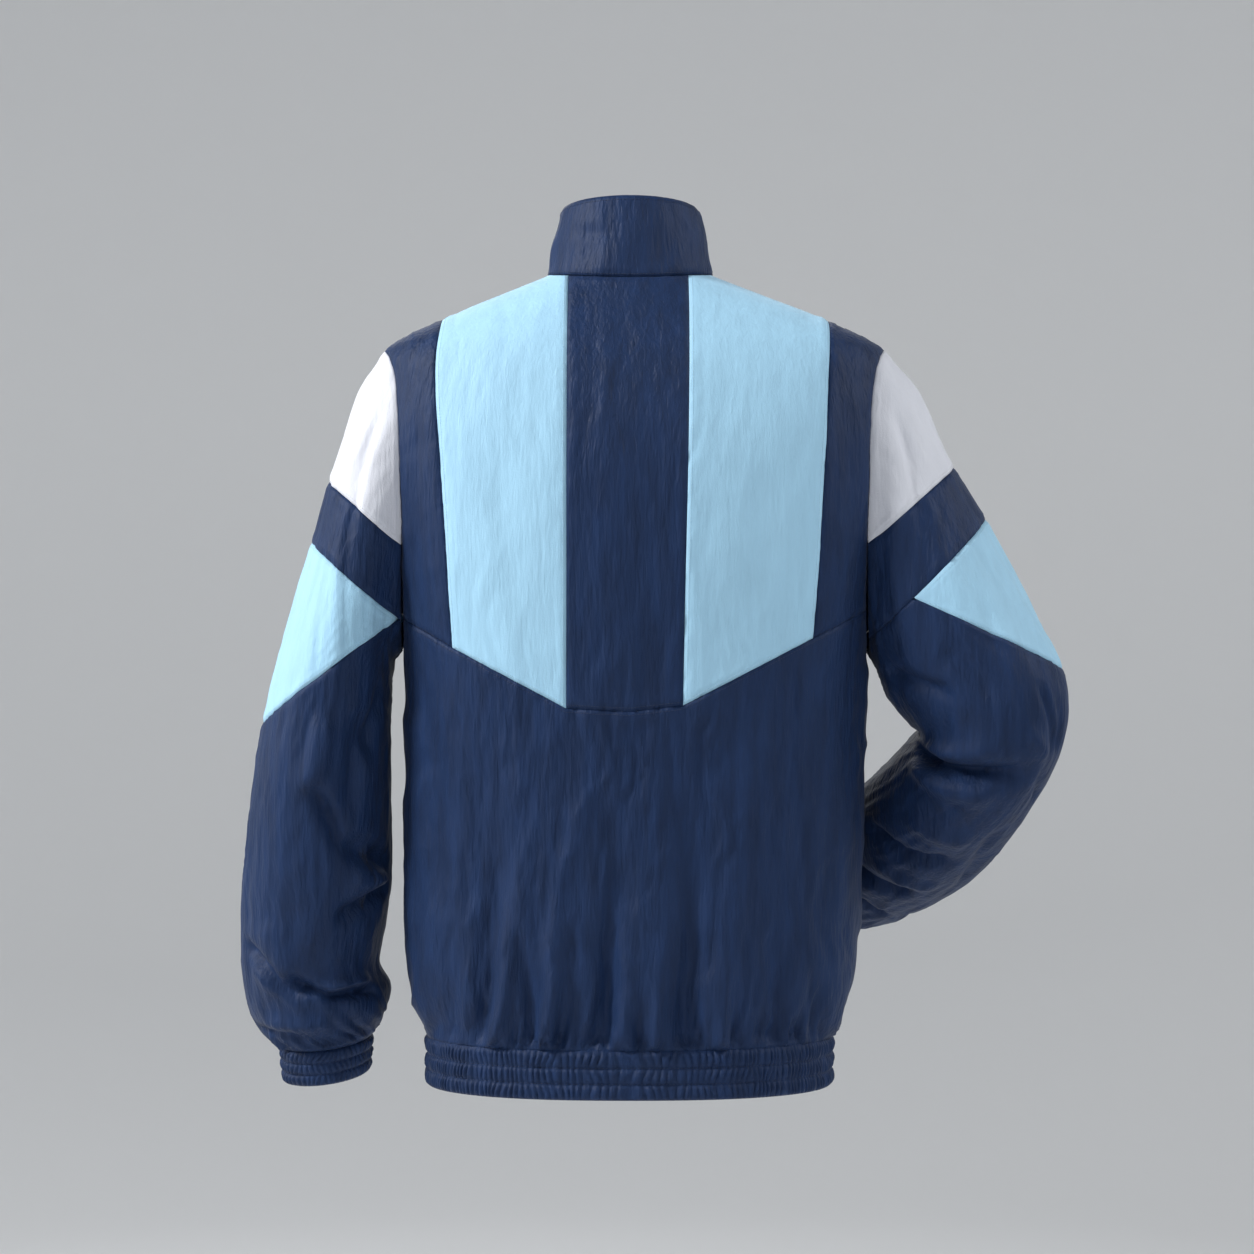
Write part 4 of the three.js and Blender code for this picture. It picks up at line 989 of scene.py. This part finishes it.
# Coil teeth of the closed zip, on the tapes' middle
def zip_teeth():
    foot, head = (collar_spot(np.array([1.0]), np.array([rise]))[0] for rise in (0.0, 1.0))
    heights = np.linspace(-BODY_LENGTH - BAND_HEIGHT, -52, 60)
    y = body_spot(0 * heights, heights, -1, relief=False)[0][:, 1]
    z = np.append(heights, np.linspace(foot[0, 2] + 3, head[0, 2], 6))
    y = np.append(y, np.linspace(foot[0, 1], head[0, 1], 6)) + 0.3
    levels = np.arange(-BODY_LENGTH - BAND_HEIGHT + 3, head[0, 2] - 4, TOOTH_STEP)
    depth = np.interp(levels, z, y)
    hands = np.where(np.arange(len(levels)) % 2, 1.0, -1.0)
    corners = np.array([[x, y, z] for x in (-0.6, 2.3) for y in (-0.95, 0) for z in (-0.55, 0.55)])
    corners[:, 2] *= np.where(corners[:, 0] < 0, 0.8, 1)
    turned = np.stack([hands, 0 * hands + 1, 0 * hands + 1], 1)[:, None, :]
    places = np.stack([0 * depth, depth, levels], 1)[:, None, :]
    box = [[0, 1, 3, 2], [4, 6, 7, 5], [0, 4, 5, 1], [2, 3, 7, 6], [0, 2, 6, 4], [1, 5, 7, 3]]
    faces = (np.arange(len(levels))[:, None, None] * 8 + np.array(box)).reshape(-1, 4)
    points = (places + turned * corners).reshape(-1, 3)
    return mesh_piece("zip_teeth", points, faces.tolist(), rounded=False)


# A plain material, with its node tree and its shader
def new_material(name, color, roughness, metallic=0.0):
    material = bpy.data.materials.new(name)
    material.use_nodes = True
    shader = material.node_tree.nodes["Principled BSDF"]
    shader.inputs["Base Color"].default_value = (*color, 1)
    shader.inputs["Roughness"].default_value = roughness
    shader.inputs["Metallic"].default_value = metallic
    return material, material.node_tree, shader


def bump_node(tree, height, strength, distance, normal=None):
    node = tree.nodes.new("ShaderNodeBump")
    node.inputs["Strength"].default_value = strength
    node.inputs["Distance"].default_value = distance
    tree.links.new(height, node.inputs["Height"])
    if normal:
        tree.links.new(normal, node.inputs["Normal"])
    return node.outputs["Normal"]


# Crinkled nylon: fine upright crinkles, a close weave and a slight unevenness of colour
def nylon(name, color, spread, sheen, crinkle_size, roughness=0.6):
    material, tree, shader = new_material(name, color, roughness)
    shader.inputs["Sheen Weight"].default_value = sheen
    shader.inputs["Sheen Roughness"].default_value = 0.45
    shader.inputs["Specular IOR Level"].default_value = 0.22
    nodes, links = tree.nodes, tree.links
    place = nodes.new("ShaderNodeTexCoord")

    def scaled(scale):
        mapping = nodes.new("ShaderNodeMapping")
        mapping.inputs["Scale"].default_value = scale
        links.new(place.outputs["Object"], mapping.inputs["Vector"])
        return mapping.outputs["Vector"]

    def noise_node(vector, scale, detail, distortion=0.0):
        node = nodes.new("ShaderNodeTexNoise")
        node.inputs["Scale"].default_value = scale
        node.inputs["Detail"].default_value = detail
        node.inputs["Distortion"].default_value = distortion
        links.new(vector, node.inputs["Vector"])
        return node.outputs["Fac"]

    tall = scaled((1, 1, 0.14))
    fine = noise_node(tall, 330, 3, 0.4)
    broad = noise_node(tall, 120, 2, 0.5)
    close = noise_node(scaled((1, 1, 1)), 900, 1)
    normal = bump_node(tree, close, 0.4, 0.0004)
    normal = bump_node(tree, fine, min(1, 0.6 * crinkle_size), 0.0014, normal)
    normal = bump_node(tree, broad, min(1, 0.4 * crinkle_size), 0.0022, normal)
    links.new(normal, shader.inputs["Normal"])
    mottle = noise_node(tall, 90, 4, 0.3)
    ramp = nodes.new("ShaderNodeValToRGB")
    for element, share in zip(ramp.color_ramp.elements, (1 - spread, 1 + spread)):
        element.color = (*[min(1, c * share) for c in color], 1)
    ramp.color_ramp.elements[0].position = 0.32
    ramp.color_ramp.elements[1].position = 0.68
    links.new(mottle, ramp.inputs["Fac"])
    links.new(ramp.outputs["Color"], shader.inputs["Base Color"])
    return material


# Woven tape: a fine diagonal weave
def tape_material(name, color):
    material, tree, shader = new_material(name, color, 0.75)
    wave = tree.nodes.new("ShaderNodeTexWave")
    wave.bands_direction = "DIAGONAL"
    wave.inputs["Scale"].default_value = 900
    place = tree.nodes.new("ShaderNodeTexCoord")
    tree.links.new(place.outputs["Object"], wave.inputs["Vector"])
    tree.links.new(bump_node(tree, wave.outputs["Fac"], 0.4, 0.0003), shader.inputs["Normal"])
    return material


# Plated zinc with small marks of wear
def metal_material(name, color):
    material, tree, shader = new_material(name, color, 0.3, 1.0)
    grain = tree.nodes.new("ShaderNodeTexNoise")
    grain.inputs["Scale"].default_value = 700
    place = tree.nodes.new("ShaderNodeTexCoord")
    tree.links.new(place.outputs["Object"], grain.inputs["Vector"])
    tree.links.new(bump_node(tree, grain.outputs["Fac"], 0.15, 0.0002), shader.inputs["Normal"])
    return material


NAVY_COLOR = (0.0095, 0.028, 0.088)
NAVY = nylon("navy_nylon", NAVY_COLOR, spread=0.18, sheen=0.04, crinkle_size=1.4, roughness=0.55)
LIGHT_BLUE = nylon("light_blue_nylon", (0.41, 0.695, 0.9), spread=0.035, sheen=0.08, crinkle_size=0.6)
WHITE = nylon("white_nylon", (0.76, 0.78, 0.85), spread=0.02, sheen=0.08, crinkle_size=0.6)
TAPE = tape_material("tape_weave", (0.012, 0.02, 0.05))
METAL = metal_material("plated_zinc", (0.62, 0.63, 0.65))
THREADS = {
    "navy": new_material("navy_thread", (0.012, 0.028, 0.08), 0.55)[0],
    "light": new_material("light_thread", (0.5, 0.75, 0.9), 0.5)[0],
    "white": new_material("white_thread", (0.78, 0.79, 0.84), 0.5)[0],
}


upper_back()
lower_back()
fronts()
collar()
waistband()
sleeve_pieces("left", sleeve_of(1, LEFT_SLEEVE, LEFT_CREASES, LEFT_SEAMS))
sleeve_pieces("right", sleeve_of(-1, RIGHT_SLEEVE, RIGHT_CREASES, RIGHT_SEAMS))


SLOTS = {part["node"]: part["material_slot"] for part in frame["record"]["subparts"]}
LOOKS = {"navy_cloth": NAVY, "light_blue_cloth": LIGHT_BLUE, "white_cloth": WHITE}
for node, piece in PIECES.items():
    slot = SLOTS[node]
    piece.data.materials.append(LOOKS[slot])
    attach(piece, "jacket")
    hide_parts(node)

TRIM = [(zip_teeth(), THREADS["navy"], "zip_tape")]
for thread, slot in zip(THREADS, LOOKS):
    TRIM.append((stitch_mesh("topstitching_" + thread, STITCHES[thread]), THREADS[thread], slot))
for piece, material, slot in TRIM:
    piece.data.materials.append(material)
    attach(piece, "jacket")

# The zip's tapes, slider and pull keep the CAD's shapes and get better materials
ZIP_LOOKS = {"zip_tape_left": TAPE, "zip_tape_right": TAPE, "zip_slider": METAL, "zip_pull": METAL}
for node, material in ZIP_LOOKS.items():
    for slot in bpy.data.objects[node].material_slots:
        slot.material = material


# A pale round studio, in metres: a level floor that curves up into a wall on all sides
def make_floor():
    radius, bend, drop, top, sides, arcs = 4.6, 1.6, -1.4, 5.0, 96, 16
    profile = [(0.05, drop)]
    for k in range(arcs + 1):
        angle = math.pi / 2 * k / arcs
        profile.append((radius - bend * (1 - math.sin(angle)), drop + bend * (1 - math.cos(angle))))
    profile.append((radius, top))
    turns = [2 * math.pi * k / sides for k in range(sides)]
    verts = [(r * math.cos(turn), r * math.sin(turn), z) for r, z in profile for turn in turns]
    verts.append((0, 0, drop))
    faces = [(len(verts) - 1, k, (k + 1) % sides) for k in range(sides)]
    for row in range(len(profile) - 1):
        for k in range(sides):
            low, high, after = row * sides, (row + 1) * sides, (k + 1) % sides
            faces.append((low + k, high + k, high + after, low + after))
    floor = mesh_piece("floor", np.array(verts) / MM, faces)
    floor.data.materials.append(new_material("pale_floor", (0.77, 0.78, 0.79), 0.8)[0])


LIT_PLACE = (0, 0, -0.3)


# A square lamp, placed in metres, that looks at the jacket's middle
def area_light(name, place, size, power):
    data = bpy.data.lights.new(name, "AREA")
    data.size = size
    data.energy = power
    lamp = bpy.data.objects.new(name, data)
    lamp.location = place
    away = mathutils.Vector(LIT_PLACE) - mathutils.Vector(place)
    lamp.rotation_euler = away.to_track_quat("-Z", "Y").to_euler()
    bpy.context.scene.collection.objects.link(lamp)


make_floor()
area_light("key", (2.5, 0.95, 1.7), 0.6, 96)
area_light("left_rim", (2.3, -0.2, 0.2), 0.8, 10)
area_light("fill", (-0.9, 2.5, 1.9), 1.2, 11)
area_light("right_rim", (-2.3, 0.3, 1.1), 0.7, 20)
area_light("front", (0.3, -2.6, 1.2), 1.8, 20)
world = bpy.data.worlds.new("studio")
world.use_nodes = True
sky = world.node_tree.nodes["Background"]
sky.inputs["Color"].default_value = (0.9, 0.94, 1, 1)
sky.inputs["Strength"].default_value = 0.15
bpy.context.scene.world = world
bpy.context.scene.view_settings.view_transform = "Standard"
